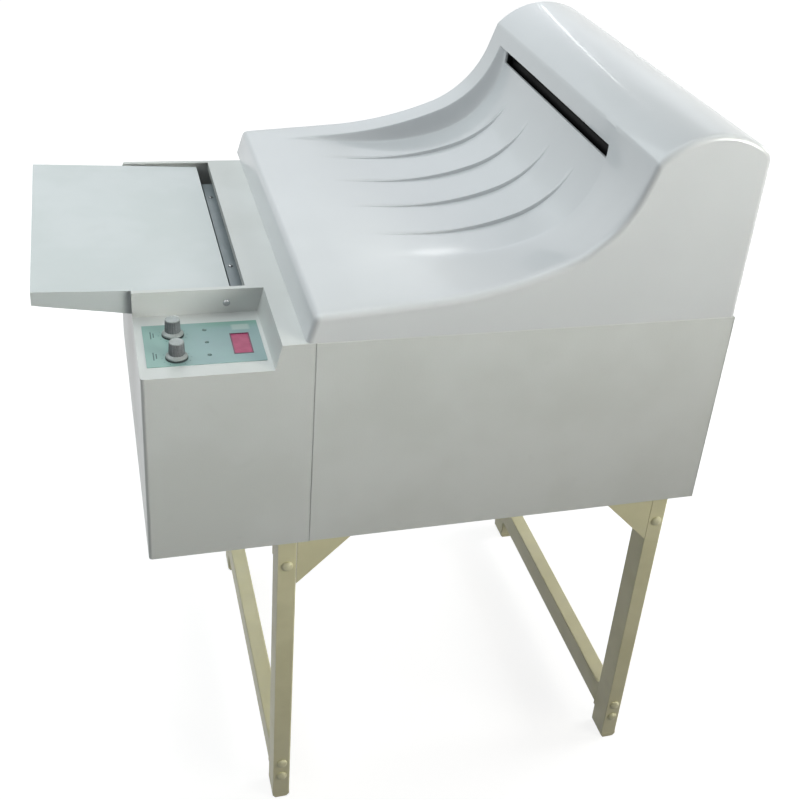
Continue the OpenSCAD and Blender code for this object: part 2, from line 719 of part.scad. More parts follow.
// One lift-out rack: side plates with hanging ears, tie rods, the lower guide and the crossover guide
module rack(k) {
    nx = nip_x(k);
    x0 = nx - 39;
    x1 = x0 + well_l - tank_t - 3;
    ear_z = rim_z + 1;
    guide_r = r_turn + 3;
    cross_r = (well_l - 2 * r_turn) / 2 + 2.5;
    cross_x = nx + 2 * r_turn + (well_l - 2 * r_turn) / 2;
    cross_z = roller_z + r_drive + 3;
    color([0.36, 0.37, 0.4]) placed() {
        difference() {
            for (y = plate_y) slab_y(y, y + plate_t) difference() {
                union() {
                    polygon([[x0, turn_z - 30], [x0 + 14, floor_z + tank_t + 1], [x1 - 14, floor_z + tank_t + 1],
                        [x1, turn_z - 30], [x1, ear_z + 4], [nx + 34, ear_z + 4], [nx + 28, roller_z + 10],
                        [nx - 28, roller_z + 10], [nx - 32, ear_z + 4], [x0, ear_z + 4]]);
                    if (k < 2) polygon([[nx + 2 * r_turn - 6, ear_z], [nx + 2 * r_turn - 6, cross_z + 10],
                        [cross_x - 14, cross_z + cross_r + 1], [cross_x + 2, cross_z + cross_r + 1], [cross_x - 6, ear_z]]);
                }
                for (w = [-1, 1]) translate([nx + r_turn - 4 + w * 30, (rim_z + turn_z) / 2 + 6]) circle(15);
            }
            journal_holes([[nx - pair, roller_z], [nx + pair, roller_z], [nx + r_turn, turn_z]]);
        }
        for (p = [[x0 + 10, turn_z + 10], [x1 - 10, turn_z + 10], [x0 + 10, rim_z - 20], [x1 - 10, rim_z - 20]])
            rod_y(p, 4, rack_y0 + plate_t - eps, plate_y[1] + eps);
        intersection() {
            rod_y([nx + r_turn, turn_z], guide_r + guide_t, rack_y0 + plate_t - eps, plate_y[1] + eps);
            difference() {
                box([nx - 10, rack_y0, turn_z - 60], [nx + 2 * r_turn + 10, rack_y1, turn_z - 8]);
                rod_y([nx + r_turn, turn_z], guide_r, rack_y0 - 1, rack_y1 + 1);
            }
        }
        if (k < 2) intersection() {
            rod_y([cross_x, cross_z], cross_r + guide_t, rack_y0 + plate_t - eps, plate_y[1] + eps);
            difference() {
                box([cross_x - 60, rack_y0, cross_z], [cross_x + 60, rack_y1, cross_z + 60]);
                rod_y([cross_x, cross_z], cross_r, rack_y0 - 1, rack_y1 + 1);
            }
        }
        for (side = [[tank_y0, rack_y0], [rack_y1, tank_y1]], x = [x0 + 6, x1 - 14])
            box([x, side[0], rim_z + rest_gap], [x + 8, side[1] + eps, rim_z + 6]);
    }
}

// The entrance: a frame on the base pan carries the first nip and the guide bar
entrance_gap = 27;
entrance_x = tank_x0 - entrance_gap;
r_nip_small = 10;
entrance_top = roller_z + r_drive + film_gap + r_nip_small;
bar_x0 = channel_x - 10;
bar_x1 = entrance_x - r_drive - 3;
bar_z = roller_z + r_drive - 3;

module entrance_frame() {
    color(pvc_grey) placed() {
        difference() {
            for (y = plate_y) box([entrance_x - 14, y, floor_z], [entrance_x + 16, y + plate_t, entrance_top + 9]);
            journal_holes([[entrance_x, roller_z], [entrance_x, entrance_top]]);
        }
        difference() {
            union() {
                box([bar_x0, film_y0 + 1.5, bar_z - 8], [bar_x1, film_y1 - 1.5, bar_z]);
                box([bar_x1 - 4, rack_y0 + plate_t - eps, bar_z - 8], [bar_x1 + 2, plate_y[1] + eps, bar_z]);
            }
            for (y = guide_screw_ys) translate([bar_x0 + 6, y, bar_z - 9]) cylinder(r = 1.6, h = 10);
        }
        box([entrance_x - 14, rack_y0 + plate_t - eps, floor_z + 40], [entrance_x - 8, plate_y[1] + eps, floor_z + 64]);
    }
}

guide_screw_front = 85;
guide_screw_rear = 148;
guide_screw_ys = [film_y - guide_screw_front, film_y + guide_screw_rear];

module entrance_guide() {
    color(steel) placed() difference() {
        slab_y(film_y0 + 1.5, film_y1 - 1.5) polygon([[bar_x0, bar_z], [bar_x1, bar_z], [bar_x1, bar_z + 1.2],
            [bar_x0 - 1.2, bar_z + 1.2], [bar_x0 - 1.2, bar_z - 6], [bar_x0, bar_z - 6]]);
        for (y = guide_screw_ys) translate([bar_x0 + 6, y, bar_z - 1]) cylinder(r = 1.7, h = 4);
    }
}

module guide_screws() {
    color(steel) placed() for (y = guide_screw_ys) translate([bar_x0 + 6, y, bar_z]) {
        translate([0, 0, -8]) cylinder(r = 1.5, h = 9.2);
        translate([0, 0, 1.2]) difference() {
            cylinder(r = 3, h = 1.8);
            translate([-2.2, -0.4, 1]) cube([4.4, 0.8, 2]);
        }
    }
}

// The dryer: a tall frame behind the exit slot, with a lower nip and an exit nip
dryer_x = tank_x1 + 2;
dryer_drive = [dryer_x, roller_z];
dryer_nip = dryer_drive + 2 * pair * [cos(120), sin(120)];
slot_drop = 73;
slot_z = deck_z + hood_rise - slot_drop;
exit_x = dryer_x + 8;
exit_low = [exit_x, slot_z - pair];
exit_high = [exit_x, slot_z + pair];
duct_set = 60;
duct_gap = 6;
duct_x0 = body_l - duct_set;
frame_x1 = duct_x0 - duct_gap;

// Guide fins that sweep the film from the lower nip up to the exit
fin_count = 7;
fin_w = 14;
path_r = 40;
guide_set = 18;
guide_x = frame_x1 - guide_set;
fin_foot = 40;
bend = [guide_x - path_r, slot_z + 4 - path_r];
guide_rod_low = [guide_x + fin_w / 2, roller_z + fin_foot + 12];
guide_rod_high = bend + (path_r + fin_w / 2) * [cos(45), sin(45)];

module dryer_frame() {
    end_x = duct_x1 - 2;
    color([0.4, 0.41, 0.43]) placed() {
        difference() {
            for (y = plate_y) slab_y(y, y + plate_t) difference() {
                polygon([[tank_x1 + 4, floor_z], [end_x, floor_z], [end_x, slot_z + 20], [end_x - 24, slot_z + 44],
                    [exit_x, slot_z + 44], [exit_x - 9, slot_z + 34], [exit_x - 9, slot_z - 24], [exit_x + 22, slot_z - 46], [exit_x + 22, roller_z + 60],
                    [dryer_nip[0] - 9, dryer_nip[1] + 9], [dryer_nip[0] - 9, rim_z + 7], [tank_x1 + 4, rim_z + 7]]);
                for (z = [floor_z + 60, floor_z + 120]) translate([(tank_x1 + frame_x1) / 2 + 2, z]) circle(20);
            }
            journal_holes([dryer_drive, dryer_nip, exit_low, exit_high]);
        }
        for (p = [[tank_x1 + 14, floor_z + 14], [frame_x1 - 8, floor_z + 150], guide_rod_low, guide_rod_high, [exit_x + 14, slot_z + 36]])
            rod_y(p, 4, rack_y0 + plate_t - eps, plate_y[1] + eps);
        for (k = [0 : fin_count - 1]) let (y = film_y0 + 12 + k * (roller_l - 26) / (fin_count - 1))
            slab_y(y, y + 2) polygon(concat([[guide_x + fin_w, roller_z + fin_foot], [guide_x, roller_z + fin_foot]],
                [for (a = [0 : 15 : 75]) bend + polar(path_r, a)], [for (a = [75 : -15 : 0]) bend + polar(path_r + fin_w, a)]));
    }
}

pulley_y0 = drive_y + wheel_w / 2 + 4;
pulley_w = 10;
pulley_r = 11;
belt_t = 1.5;
belt_gap = 0.3;

// A flanged pulley at the front end of a roller
module pulley(p) {
    rod_y(p, pulley_r, pulley_y0, pulley_y0 + pulley_w);
    rod_y(p, pulley_r + 2.5, pulley_y0 - 1.2, pulley_y0);
    rod_y(p, pulley_r + 2.5, pulley_y0 + pulley_w, pulley_y0 + pulley_w + 1.2);
}

module dryer_drive_roller() {
    driven_roller(dryer_drive);
    color([0.25, 0.26, 0.28]) placed() pulley(dryer_drive);
}

module exit_drive_roller() {
    color([0.25, 0.26, 0.28]) placed() {
        roller(exit_high, r_drive, pulley_y0 - 3);
        pulley(exit_high);
    }
}

// The band of a closed belt about two equal pulleys
module belt_band(r) {
    run = exit_high - dryer_drive;
    for (p = [dryer_drive, exit_high]) translate(p) circle(r);
    translate(dryer_drive) rotate(atan2(run[1], run[0])) translate([0, -r]) square([norm(run), 2 * r]);
}

module dryer_belt() {
    inner = pulley_r + belt_gap;
    color(dark) placed() slab_y(pulley_y0 + 1, pulley_y0 + pulley_w - 1) difference() {
        belt_band(inner + belt_t);
        belt_band(inner);
    }
}

// Warm air: blower, duct and the plenum with its row of slots
impeller_r = 40;
duct_x1 = body_l - pan_flange - 3;
blower_x = frame_x1 - 6;
scroll_r1 = duct_x1 - blower_x - 3;
blower_p = [blower_x, floor_z + scroll_r1 + 14];
blower_w = 80;
blower_y0 = film_y - 48;
blower_y1 = blower_y0 + blower_w;
blower_motor_l = 50;
blower_motor_r = 26;
outlet_l = 26;
duct_z = blower_p[1] + scroll_r1 + outlet_l;
plenum_rise = 30;
plenum_z0 = roller_z + plenum_rise;
plenum_z1 = slot_z - 6;
vent_pitch = 22;

// The blower's growing scroll, which runs on into its upright outlet
tongue_a = 70;
scroll_r0 = impeller_r + 6;
scroll_n = 24;
function scroll_pts(grow, top) = let (x0 = scroll_r0 * cos(tongue_a) - grow) concat(
    [[x0, top], [x0, (scroll_r0 + grow) * sin(tongue_a)]],
    [for (k = [1 : scroll_n]) polar(scroll_r0 + (scroll_r1 - scroll_r0) * k / scroll_n + grow,
        tongue_a + (360 - tongue_a) * k / scroll_n)],
    [[scroll_r1 + grow, top]]);

module scroll(grow) {
    translate(blower_p) polygon(scroll_pts(grow, duct_z - blower_p[1] - rest_gap + (grow > 0 ? 0 : 4)));
}

module blower_housing() {
    color(steel) placed() difference() {
        union() {
            slab_y(blower_y0, blower_y1) scroll(2);
            rod_y(blower_p, blower_motor_r, blower_y1 - 1, blower_y1 + blower_motor_l);
            for (y = [blower_y0, blower_y1 - 12]) box([blower_p[0] - 34, y, floor_z], [blower_p[0] + 34, y + 12, blower_p[1] - 30]);
        }
        slab_y(blower_y0 + 2, blower_y1 - 2) scroll(0);
        rod_y(blower_p, blower_motor_r, blower_y0 - 1, blower_y0 + 3);
        rod_y(blower_p, 4 + run_gap, blower_y1 - 3, blower_y1 + 20);
    }
}

module blower_impeller() {
    blades = 24;
    y0 = blower_y0 + 6;
    y1 = blower_y1 - 6;
    color([0.3, 0.45, 0.6]) placed() {
        rod_y(blower_p, 4, y1 - 3, blower_y1 + 18);
        rod_y(blower_p, impeller_r - 2, y1 - 3, y1);
        difference() {
            rod_y(blower_p, impeller_r - 1, y0, y0 + 3);
            rod_y(blower_p, impeller_r - 10, y0 - 1, y0 + 4);
        }
        rod_y(blower_p, 10, y1 - 16, y1 - 1);
        translate([blower_p[0], 0, blower_p[1]]) for (k = [0 : blades - 1]) rotate([0, k * 360 / blades, 0])
            translate([impeller_r - 9, y0 + 1, -0.6]) cube([7.5, y1 - y0 - 2, 1.2]);
    }
}

module air_duct() {
    color(steel) placed() {
        neck_y0 = blower_y0;
        neck_y1 = blower_y1;
        y0 = rack_y0 + plate_t + rest_gap;
        y1 = plate_y[1] - rest_gap;
        difference() {
            box([duct_x0, neck_y0, duct_z], [duct_x1, neck_y1, plenum_z0 + eps]);
            box([duct_x0 + 2, neck_y0 + 2, duct_z - 1], [duct_x1 - 2, neck_y1 - 2, plenum_z0 + 4]);
        }
        difference() {
            box([duct_x0, y0, plenum_z0], [duct_x1, y1, plenum_z1]);
            box([duct_x0 + 2, y0 + 2, plenum_z0 + 2], [duct_x1 - 2, y1 - 2, plenum_z1 - 2]);
            box([duct_x0 + 2, neck_y0 + 2, plenum_z0 - 1], [duct_x1 - 2, neck_y1 - 2, plenum_z0 + 3]);
            for (z = [plenum_z0 + 16 : vent_pitch : plenum_z1 - 16])
                box([duct_x0 - 1, film_y0 + 14, z], [duct_x0 + 3, film_y1 - 14, z + 5]);
        }
    }
}

// The drive: a plate beside the tanks, bearing blocks, the worm shaft and its motor
drive_plate_y = tank_y0 - seam - 2;
shaft_lead = 30;
shaft_x0 = entrance_x - shaft_lead;
motor_set = 98;
motor_x0 = body_l - motor_set;
gearbox_l = 20;
gearbox_half = 22;
motor_l = 62;
motor_r = 20;
shaft_x1 = motor_x0 + 14;
bearing_set = 52;
bearing_xs = [shaft_x0 + 1, nip_x(0) + bearing_set, nip_x(1) + bearing_set, dryer_x - 42];
bearing_w = 14;
bearing_r = 11;
worm_turns = 3;
worm_steps = 18;
lead = PI * gear_m;
wheel_xs = [entrance_x, nip_x(0) - pair, nip_x(1) - pair, nip_x(2) - pair, dryer_x];

module drive_plate() {
    y0 = drive_plate_y;
    x0 = shaft_x0 - 2;
    x1 = tank_x1 - 2;
    color(steel) placed() difference() {
        union() {
            box([x0, y0, floor_z], [x1, y0 + 2, rim_z + 4]);
            box([x0, y0 - 22, floor_z], [x1, y0 + eps, floor_z + 2]);
        }
        for (x = pump_xs) rod_y([x, floor_z + pump_port_rise], pump_port_r + 1, y0 - 1, y0 + 3);
    }
}

module shaft_bearings() {
    color(pvc_grey) placed() for (x = bearing_xs) difference() {
        union() {
            box([x, drive_y, worm_z - bearing_r], [x + bearing_w, drive_plate_y, worm_z + bearing_r]);
            rod_x([drive_y, worm_z], bearing_r, x, x + bearing_w);
        }
        rod_x([drive_y, worm_z], shaft_d / 2 + run_gap, x - 1, x + bearing_w + 1);
    }
}

// One point of the worm's thread: turn angle, radius and offset along the shaft
function thread_pt(a, r, dx) = [lead * (a - 270) / 360 + dx, r * cos(a), r * sin(a)];

// A single-start right-hand thread, with a gap over the wheel's lowest tooth
module worm_thread() {
    tip = worm_r + addendum;
    root = worm_r - dedendum - 0.4;
    half = gear_m * 0.55;
    slope = 0.36;
    root_w = half + slope * (dedendum + 0.4);
    tip_w = half - slope * addendum;
    n = worm_turns * worm_steps;
    a0 = 270 - 180 * worm_turns;
    pts = [for (k = [0 : n]) let (a = a0 + 360 * worm_turns * k / n)
        each [thread_pt(a, root, -root_w), thread_pt(a, tip, -tip_w), thread_pt(a, tip, tip_w), thread_pt(a, root, root_w)]];
    sides = [for (k = [0 : n - 1], j = [0 : 3]) let (p = 4 * k + j, q = 4 * k + (j + 1) % 4)
        each [[p, q, p + 4], [q, q + 4, p + 4]]];
    ends = [[0, 2, 1], [0, 3, 2], [4 * n, 4 * n + 1, 4 * n + 2], [4 * n, 4 * n + 2, 4 * n + 3]];
    polyhedron(pts, concat(sides, ends));
}

module worm_shaft() {
    color(steel) placed() {
        rod_x([drive_y, worm_z], shaft_d / 2, shaft_x0, shaft_x1);
        for (x = wheel_xs) {
            rod_x([drive_y, worm_z], worm_r - dedendum - 0.2, x - lead * worm_turns / 2 - 2, x + lead * worm_turns / 2 + 2);
            translate([x, drive_y, worm_z]) worm_thread();
        }
    }
}

module drive_motor() {
    x0 = motor_x0;
    color([0.2, 0.22, 0.25]) placed() difference() {
        union() {
            box([x0, drive_y - gearbox_half, worm_z - gearbox_half], [x0 + gearbox_l, drive_y + gearbox_half, worm_z + gearbox_half]);
            rod_x([drive_y, worm_z], motor_r, x0 + gearbox_l - eps, x0 + motor_l);
            box([x0, drive_y - gearbox_half, floor_z], [x0 + 4, drive_y + gearbox_half, worm_z - gearbox_half + eps]);
            box([x0, drive_y - gearbox_half, floor_z], [x0 + 2 * gearbox_l, drive_y + gearbox_half, floor_z + 3]);
        }
        rod_x([drive_y, worm_z], shaft_d / 2 + run_gap, x0 - 1, x0 + 16);
    }
}

// Pumps, electrics and what comes through the base and the rear panel
pump_in = 30;
pump_xs = [nip_x(0) + pump_in, nip_x(1) + pump_in];
pump_port_rise = 33;
pump_port_r = 6;
pump_set = 62;
pump_foot_r = 30;
pump_flange_r = 31;
pump_body_r = 27;
pump_motor_r = 22;
pump_neck_r = 14;
pump_body_h = 44;
pump_motor_h = 54;
pump_y = drive_plate_y - pump_set;

module circulation_pumps() {
    color([0.18, 0.2, 0.3]) placed() for (x = pump_xs) translate([x, pump_y, floor_z]) {
        cylinder(r = pump_foot_r, h = 5);
        cylinder(r = pump_neck_r, h = pump_body_h - 14);
        translate([0, 0, pump_body_h / 2]) cylinder(r = pump_body_r, h = pump_body_h / 2 + 2);
        translate([0, 0, pump_body_h - 4]) cylinder(r = pump_flange_r, h = 4);
        translate([0, 0, pump_body_h]) cylinder(r = pump_motor_r, h = pump_motor_h);
        translate([0, 0, pump_port_rise]) rotate([-90, 0, 0]) cylinder(r = pump_port_r, h = drive_plate_y - pump_y + 2 + seam);
    }
}

// The box of the electrics stands in front of the wash tank
box_set = 50;
box_l = 120;
box_d = 74;
box_h = 110;
box_y0 = 22;
lid_lip = 2;
lid_h = 8;

module electrics_box() {
    x0 = nip_x(2) - box_set;
    color([0.75, 0.76, 0.74]) placed() {
        box([x0, box_y0, floor_z], [x0 + box_l, box_y0 + box_d, floor_z + box_h]);
        box([x0 - lid_lip, box_y0 - lid_lip, floor_z + box_h - eps],
            [x0 + box_l + lid_lip, box_y0 + box_d + lid_lip, floor_z + box_h + lid_h]);
    }
}

drain_in = 20;
drain_xs = [for (k = [0 : 2]) nip_x(k) + drain_in];
drain_gap = 16;
drain_y = tank_y1 + drain_gap;
spigot_r = 8;
inlet_w = 30;
inlet_h = 24;
inlet_in = 60;
inlet_rise = 60;
inlet_x = panel_x0 + inlet_in;
inlet_z = frame_z + inlet_rise;

module service_fittings() {
    color(dark) placed() {
        for (x = drain_xs) translate([x, drain_y, 0]) difference() {
            union() {
                translate([0, 0, skirt_z + 8]) cylinder(r = spigot_r, h = floor_z + 20 - skirt_z - 8);
                translate([0, 0, floor_z + rest_gap]) cylinder(r = 12, h = 4);
                translate([0, 0, skirt_z + 8]) cylinder(r1 = spigot_r, r2 = spigot_r + 1.2, h = 6);
            }
            translate([0, 0, skirt_z]) cylinder(r = 5.5, h = 60);
        }
        difference() {
            union() {
                box([inlet_x - inlet_w / 2, rear_y, inlet_z - inlet_h / 2], [inlet_x + inlet_w / 2, rear_y + 2, inlet_z + inlet_h / 2]);
                box([inlet_x - inlet_w / 2 + 2.2, rear_y - 22, inlet_z - inlet_h / 2 + 2.2], [inlet_x + inlet_w / 2 - 2.2, rear_y + eps, inlet_z + inlet_h / 2 - 2.2]);
            }
            box([inlet_x - 10.5, rear_y - 16, inlet_z - 7], [inlet_x + 10.5, rear_y + 3, inlet_z + 7]);
        }
    }
}

// The top cover: one moulding with the receiving tray, the sweep and the dryer hood
hood_set = 71;
hood_c = [body_l - hood_set, deck_z + hood_rise - hood_r];
hood_a = 139;
rise_a = 71;
mid_a = 22;
low_a = 4;
rise_l = 36;
long_r = 555;
// A point at a distance and an angle
function polar(r, a) = r * [cos(a), sin(a)];
sweep_top = hood_c + polar(hood_r, hood_a);
sweep_b1 = sweep_top - polar(rise_l, rise_a);
sweep_cb = sweep_b1 + polar(sweep_r, rise_a + 90);
sweep_b0 = sweep_cb + polar(sweep_r, mid_a - 90);
sweep_ca = sweep_b0 + polar(long_r, mid_a + 90);
sweep_a0 = sweep_ca + polar(long_r, low_a - 90);
step_top = [cover_step_x + step_draft, deck_z + step_h];
recess_in = 52;
recess_x0 = step_top[0] + recess_in;
flat_z = step_top[1] + (sweep_a0[1] - step_top[1]) * (recess_x0 - step_top[0]) / (sweep_a0[0] - step_top[0]);
recess_start = [recess_x0, flat_z];
hood_end_a = 56;
corner_hi = hood_c + polar(hood_r, hood_end_a);
corner_drop = 22;
corner_lo = [body_l, corner_hi[1] - corner_drop];

function line_pts(a, b, n) = [for (i = [0 : n - 1]) a + (b - a) * i / n];
function arc_pts(c, r, a0, a1, n) = [for (i = [0 : n - 1]) c + polar(r, a0 + (a1 - a0) * i / n)];
// A quarter bend from a to b with its corner at k
function bend_pts(a, k, b, n) = [for (i = [0 : n - 1]) let (t = i / n) (1 - t) * (1 - t) * a + 2 * t * (1 - t) * k + t * t * b];

// The cover's upper edge in the XZ plane, feed side to dryer side, set in by a distance at the step
step_in = [step_h, -step_draft] / norm([step_h, step_draft]);
flat_in = unit([flat_z - step_top[1], step_top[0] - recess_x0]);
step_miter = (step_in + flat_in) / (1 + step_in * flat_in);
function step_edge(inset) = let (k = step_top + inset * step_miter, s = max(1.2, 7 - 0.75 * inset),
        a = k - s * [-step_in[1], step_in[0]], b = k + s * [-flat_in[1], flat_in[0]])
    concat([[cover_step_x + inset / step_in[0], cover_z]], bend_pts(a, k, b, 4), [b]);
edge_start = step_edge(0);
edge_sweep = concat(line_pts(recess_start, sweep_a0, 4), arc_pts(sweep_ca, long_r, low_a - 90, mid_a - 90, 9),
    arc_pts(sweep_cb, sweep_r, mid_a - 90, rise_a - 90, 10));
// The rise has the lip's foot and edge, outside and inside
lip_w = 1;
edge_recess = concat(edge_sweep, [for (d = [0, lip_up, lip_up + lip_w, lip_up + cover_t, lip_up + cover_t + lip_w, rise_l - 9])
    sweep_b1 + polar(d, rise_a)]);
edge_hood = concat(arc_pts(hood_c, hood_r, hood_a, hood_end_a, 13),
    bend_pts(corner_hi, [body_l, corner_hi[1] - 7], corner_lo, 4), [corner_lo, [body_l, cover_z]]);
edge = concat(edge_start, edge_recess, edge_hood);
edge_n = len(edge);
recess_i0 = len(edge_start);
recess_i1 = recess_i0 + len(edge_recess);
lip_i = recess_i0 + len(edge_sweep) + 1;

// Unit normals of the edge, pointing into the cover
function unit(v) = v / norm(v);
function inward(i) = i == 0 ? [1, 0] : i == edge_n - 1 ? [-1, 0]
    : let (t = unit(edge[i + 1] - edge[i - 1])) [t[1], -t[0]];
edge_in = [for (i = [0 : edge_n - 1]) inward(i)];

// How far along the receiving tray a point lies, from 0 to 1
function walk(i) = i <= recess_i0 ? 0 : walk(i - 1) + norm(edge[i] - edge[i - 1]);
recess_len = walk(recess_i1);
function along(i) = i <= recess_i0 || i >= recess_i1 ? 0 : walk(i) / recess_len;
recess_t = [for (i = [0 : edge_n - 1]) along(i)];

// The exit slot is a little longer than the rollers, and its middle lies just below their nip
slot_y0 = film_y0 - 8;
slot_y1 = film_y1 + 3;
slot_z0 = slot_z - slot_h / 2 - 1.25;

// Depth of the receiving tray along its length, and how much of it applies at a place across
function sink(t) = recess_depth * sin(180 * pow(t, 1.5));
tray_front_y = ledge_d - 3;
back_rim = 50;
tray_back_y = body_d - back_rim;
wall_run = 14;
function across(y, grow) = y <= 12 || y >= tray_back_y + grow ? 0
    : y < tray_front_y ? 1 - pow(1 - (y - 12) / (tray_front_y - 12), 1.25)
    : y > tray_back_y + grow - wall_run ? 1 - pow(1 - (tray_back_y + grow - y) / wall_run, 2.5) : 1;
// Over the exit slot the hood's face comes forward, from nothing at the slot's front end to the tray's full depth at its back
function face_share(y) = max(0, min(1, 1 - (y - slot_y0) / (tray_back_y - wall_run - slot_y0)));

// The film ribs: steep in front and rounded behind, rising and fading along the tray
first_rib = 67;
last_rib = 10;
rib_pitch = (tray_back_y - tray_front_y - first_rib + last_rib) / rib_count;
rib_front = 2;
rib_back = 8;
rib_from = 0.06;
rib_to = 0.81;
rib_ys = [for (k = [0 : rib_count - 1]) tray_front_y + first_rib + k * rib_pitch];
function swell(t) = t <= rib_from || t >= rib_to ? 0 : rib_h * sin(180 * pow((t - rib_from) / (rib_to - rib_from), 1.9));
function rib_at(y) = max([for (c = rib_ys) let (d = y - c, half = d < 0 ? rib_front : rib_back) abs(d) < half ? cos(90 * d / half) : 0]);

// One cross-section of the cover at a place across, set in by a wall and by the edge's round
function cover_ring(y, inset, inner) = let (start = step_edge(inset), wide = across(y, inner ? cover_t : 0),
    high = wide * face_share(y), lip = lip_i + (inner ? 2 : 0), rib = inner ? 0 : rib_at(y))
    [for (i = [0 : edge_n - 1]) let (t = recess_t[i], p = i < recess_i0 ? start[i]
        : edge[i] + edge_in[i] * (inset + sink(t) * (i <= lip ? wide : high) - swell(t) * rib)) [p[0], y, p[1]]];

// A closed skin over a row of rings with the same number of points, each end closed about a point inside the hood
cap_p = [hood_c[0] - 34, deck_z + 8];
module skin(rings) {
    n = len(rings[0]);
    m = len(rings);
    caps = [[cap_p[0], rings[0][0][1], cap_p[1]], [cap_p[0], rings[m - 1][0][1], cap_p[1]]];
    pts = concat([for (r = rings) each r], caps);
    sides = [for (j = [0 : m - 2], i = [0 : n - 1]) let (a = j * n + i, b = j * n + (i + 1) % n)
        each [[a, a + n, b], [b, a + n, b + n]]];
    first = [for (i = [0 : n - 1]) [i, (i + 1) % n, m * n]];
    last = [for (i = [0 : n - 1]) [(m - 1) * n + (i + 1) % n, (m - 1) * n + i, m * n + 1]];
    polyhedron(pts, concat(sides, first, last));
}

// Places across at which the outer skin has a ring, with the round at both ends
round_steps = 4;
round_in = [for (k = [0 : round_steps]) cover_round * (1 - sin(90 * k / round_steps))];
round_y = [for (k = [0 : round_steps]) cover_round * (1 - cos(90 * k / round_steps))];
rib_rings = [for (c = rib_ys) each [c - rib_front, c - 0.6 * rib_front, c - 0.2 * rib_front, c + 0.2 * rib_back, c + 0.6 * rib_back, c + rib_back]];
// Places on the tray's front slope, spread over its run
front_ys = [for (d = [0, 28, 58, 88, 113, 133]) 12 + (tray_front_y - 12) * d / 133];
mid_rings = concat(front_ys, rib_rings,
    [for (s = [1, 0.75, 0.5, 0.3, 0.16, 0.07, 0]) tray_back_y - s * wall_run]);
outer_rings = concat([for (k = [0 : round_steps]) cover_ring(round_y[k], round_in[k], false)],
    [for (y = mid_rings) cover_ring(y, 0, false)],
    [for (k = [round_steps : -1 : 0]) cover_ring(body_d - round_y[k], round_in[k], false)]);

inner_ys = concat([cover_t], [for (d = [0, 38, 88, 113, 133]) 12 + (tray_front_y - 12) * d / 133], [film_y],
    [for (s = [1, 0.6, 0.3, 0.1, 0]) tray_back_y + cover_t - s * wall_run], [body_d - cover_t]);
// An inner ring runs on below the rim, so that the cover is open underneath
function open_ring(y) = let (r = cover_ring(y, cover_t, true), n = len(r))
    concat([[r[0][0], y, cover_z - 9]], r, [[r[n - 1][0], y, cover_z - 9]]);

module top_cover() {
    color(white) placed() difference() {
        skin(outer_rings);
        skin([for (y = inner_ys) open_ring(y)]);
        translate([sweep_b1[0] - 6, slot_y0, slot_z0]) cube([40, slot_y1 - slot_y0, slot_h]);
    }
}

leg(0, 0);  // leg_front_left
leg(1, 0);  // leg_front_right
leg(0, 1);  // leg_rear_left
leg(1, 1);  // leg_rear_right
foot_plugs();
low_rail(0);  // low_rail_left
low_rail(1);  // low_rail_right
upper_frame();
gusset_plates();
stand_bolts();
stand_nuts();
base_pan();
front_panel();
rear_panel();
right_end_panel();
feed_end_cover();
panel_screws();
control_fascia();
display_window();
indicator_lenses();
control_board();
knob(knob_ys[0]);  // knob_front
knob(knob_ys[1]);  // knob_rear
feed_tray();
tray_pivots();
entrance_frame();
entrance_guide();
guide_screws();
driven_roller([entrance_x, roller_z]);  // entrance_drive_roller
plain_roller([entrance_x, entrance_top], r_nip_small);  // entrance_nip_roller
tank_block();
rack(0);  // developer_rack
driven_roller([nip_x(0) - pair, roller_z]);  // developer_drive_roller
plain_roller([nip_x(0) + pair, roller_z], r_drive);  // developer_nip_roller
turn_roller([nip_x(0) + r_turn, turn_z]);  // developer_turn_roller
rack(1);  // fixer_rack
driven_roller([nip_x(1) - pair, roller_z]);  // fixer_drive_roller
plain_roller([nip_x(1) + pair, roller_z], r_drive);  // fixer_nip_roller
turn_roller([nip_x(1) + r_turn, turn_z]);  // fixer_turn_roller
rack(2);  // wash_rack
driven_roller([nip_x(2) - pair, roller_z]);  // wash_drive_roller
plain_roller([nip_x(2) + pair, roller_z], r_drive);  // wash_nip_roller
turn_roller([nip_x(2) + r_turn, turn_z]);  // wash_turn_roller
dryer_frame();
dryer_drive_roller();
plain_roller(dryer_nip, r_drive);  // dryer_nip_roller
exit_drive_roller();
plain_roller(exit_low, r_drive);  // exit_nip_roller
dryer_belt();
air_duct();
blower_housing();
blower_impeller();
drive_plate();
shaft_bearings();
worm_shaft();
drive_motor();
circulation_pumps();
electrics_box();
service_fittings();
top_cover();
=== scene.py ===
"""Looks of the floor-standing film processor: its painted cabinet, moulded cover, control ledge and stand."""

import json
import math

import bmesh
import bpy
import numpy as np
from mathutils import Euler, Matrix, Vector


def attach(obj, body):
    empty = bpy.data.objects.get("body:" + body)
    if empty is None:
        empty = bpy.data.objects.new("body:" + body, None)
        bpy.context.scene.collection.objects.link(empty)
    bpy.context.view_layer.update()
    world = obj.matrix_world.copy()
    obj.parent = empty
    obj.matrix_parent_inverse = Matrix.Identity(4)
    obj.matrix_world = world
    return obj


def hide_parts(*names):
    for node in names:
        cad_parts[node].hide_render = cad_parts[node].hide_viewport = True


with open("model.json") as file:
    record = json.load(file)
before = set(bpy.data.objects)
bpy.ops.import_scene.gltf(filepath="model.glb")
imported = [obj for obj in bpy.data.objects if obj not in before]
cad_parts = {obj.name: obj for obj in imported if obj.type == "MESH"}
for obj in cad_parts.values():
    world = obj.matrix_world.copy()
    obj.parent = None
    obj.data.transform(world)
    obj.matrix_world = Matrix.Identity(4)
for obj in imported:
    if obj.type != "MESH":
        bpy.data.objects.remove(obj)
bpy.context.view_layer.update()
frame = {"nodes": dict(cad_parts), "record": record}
cad_nodes = frame["nodes"]
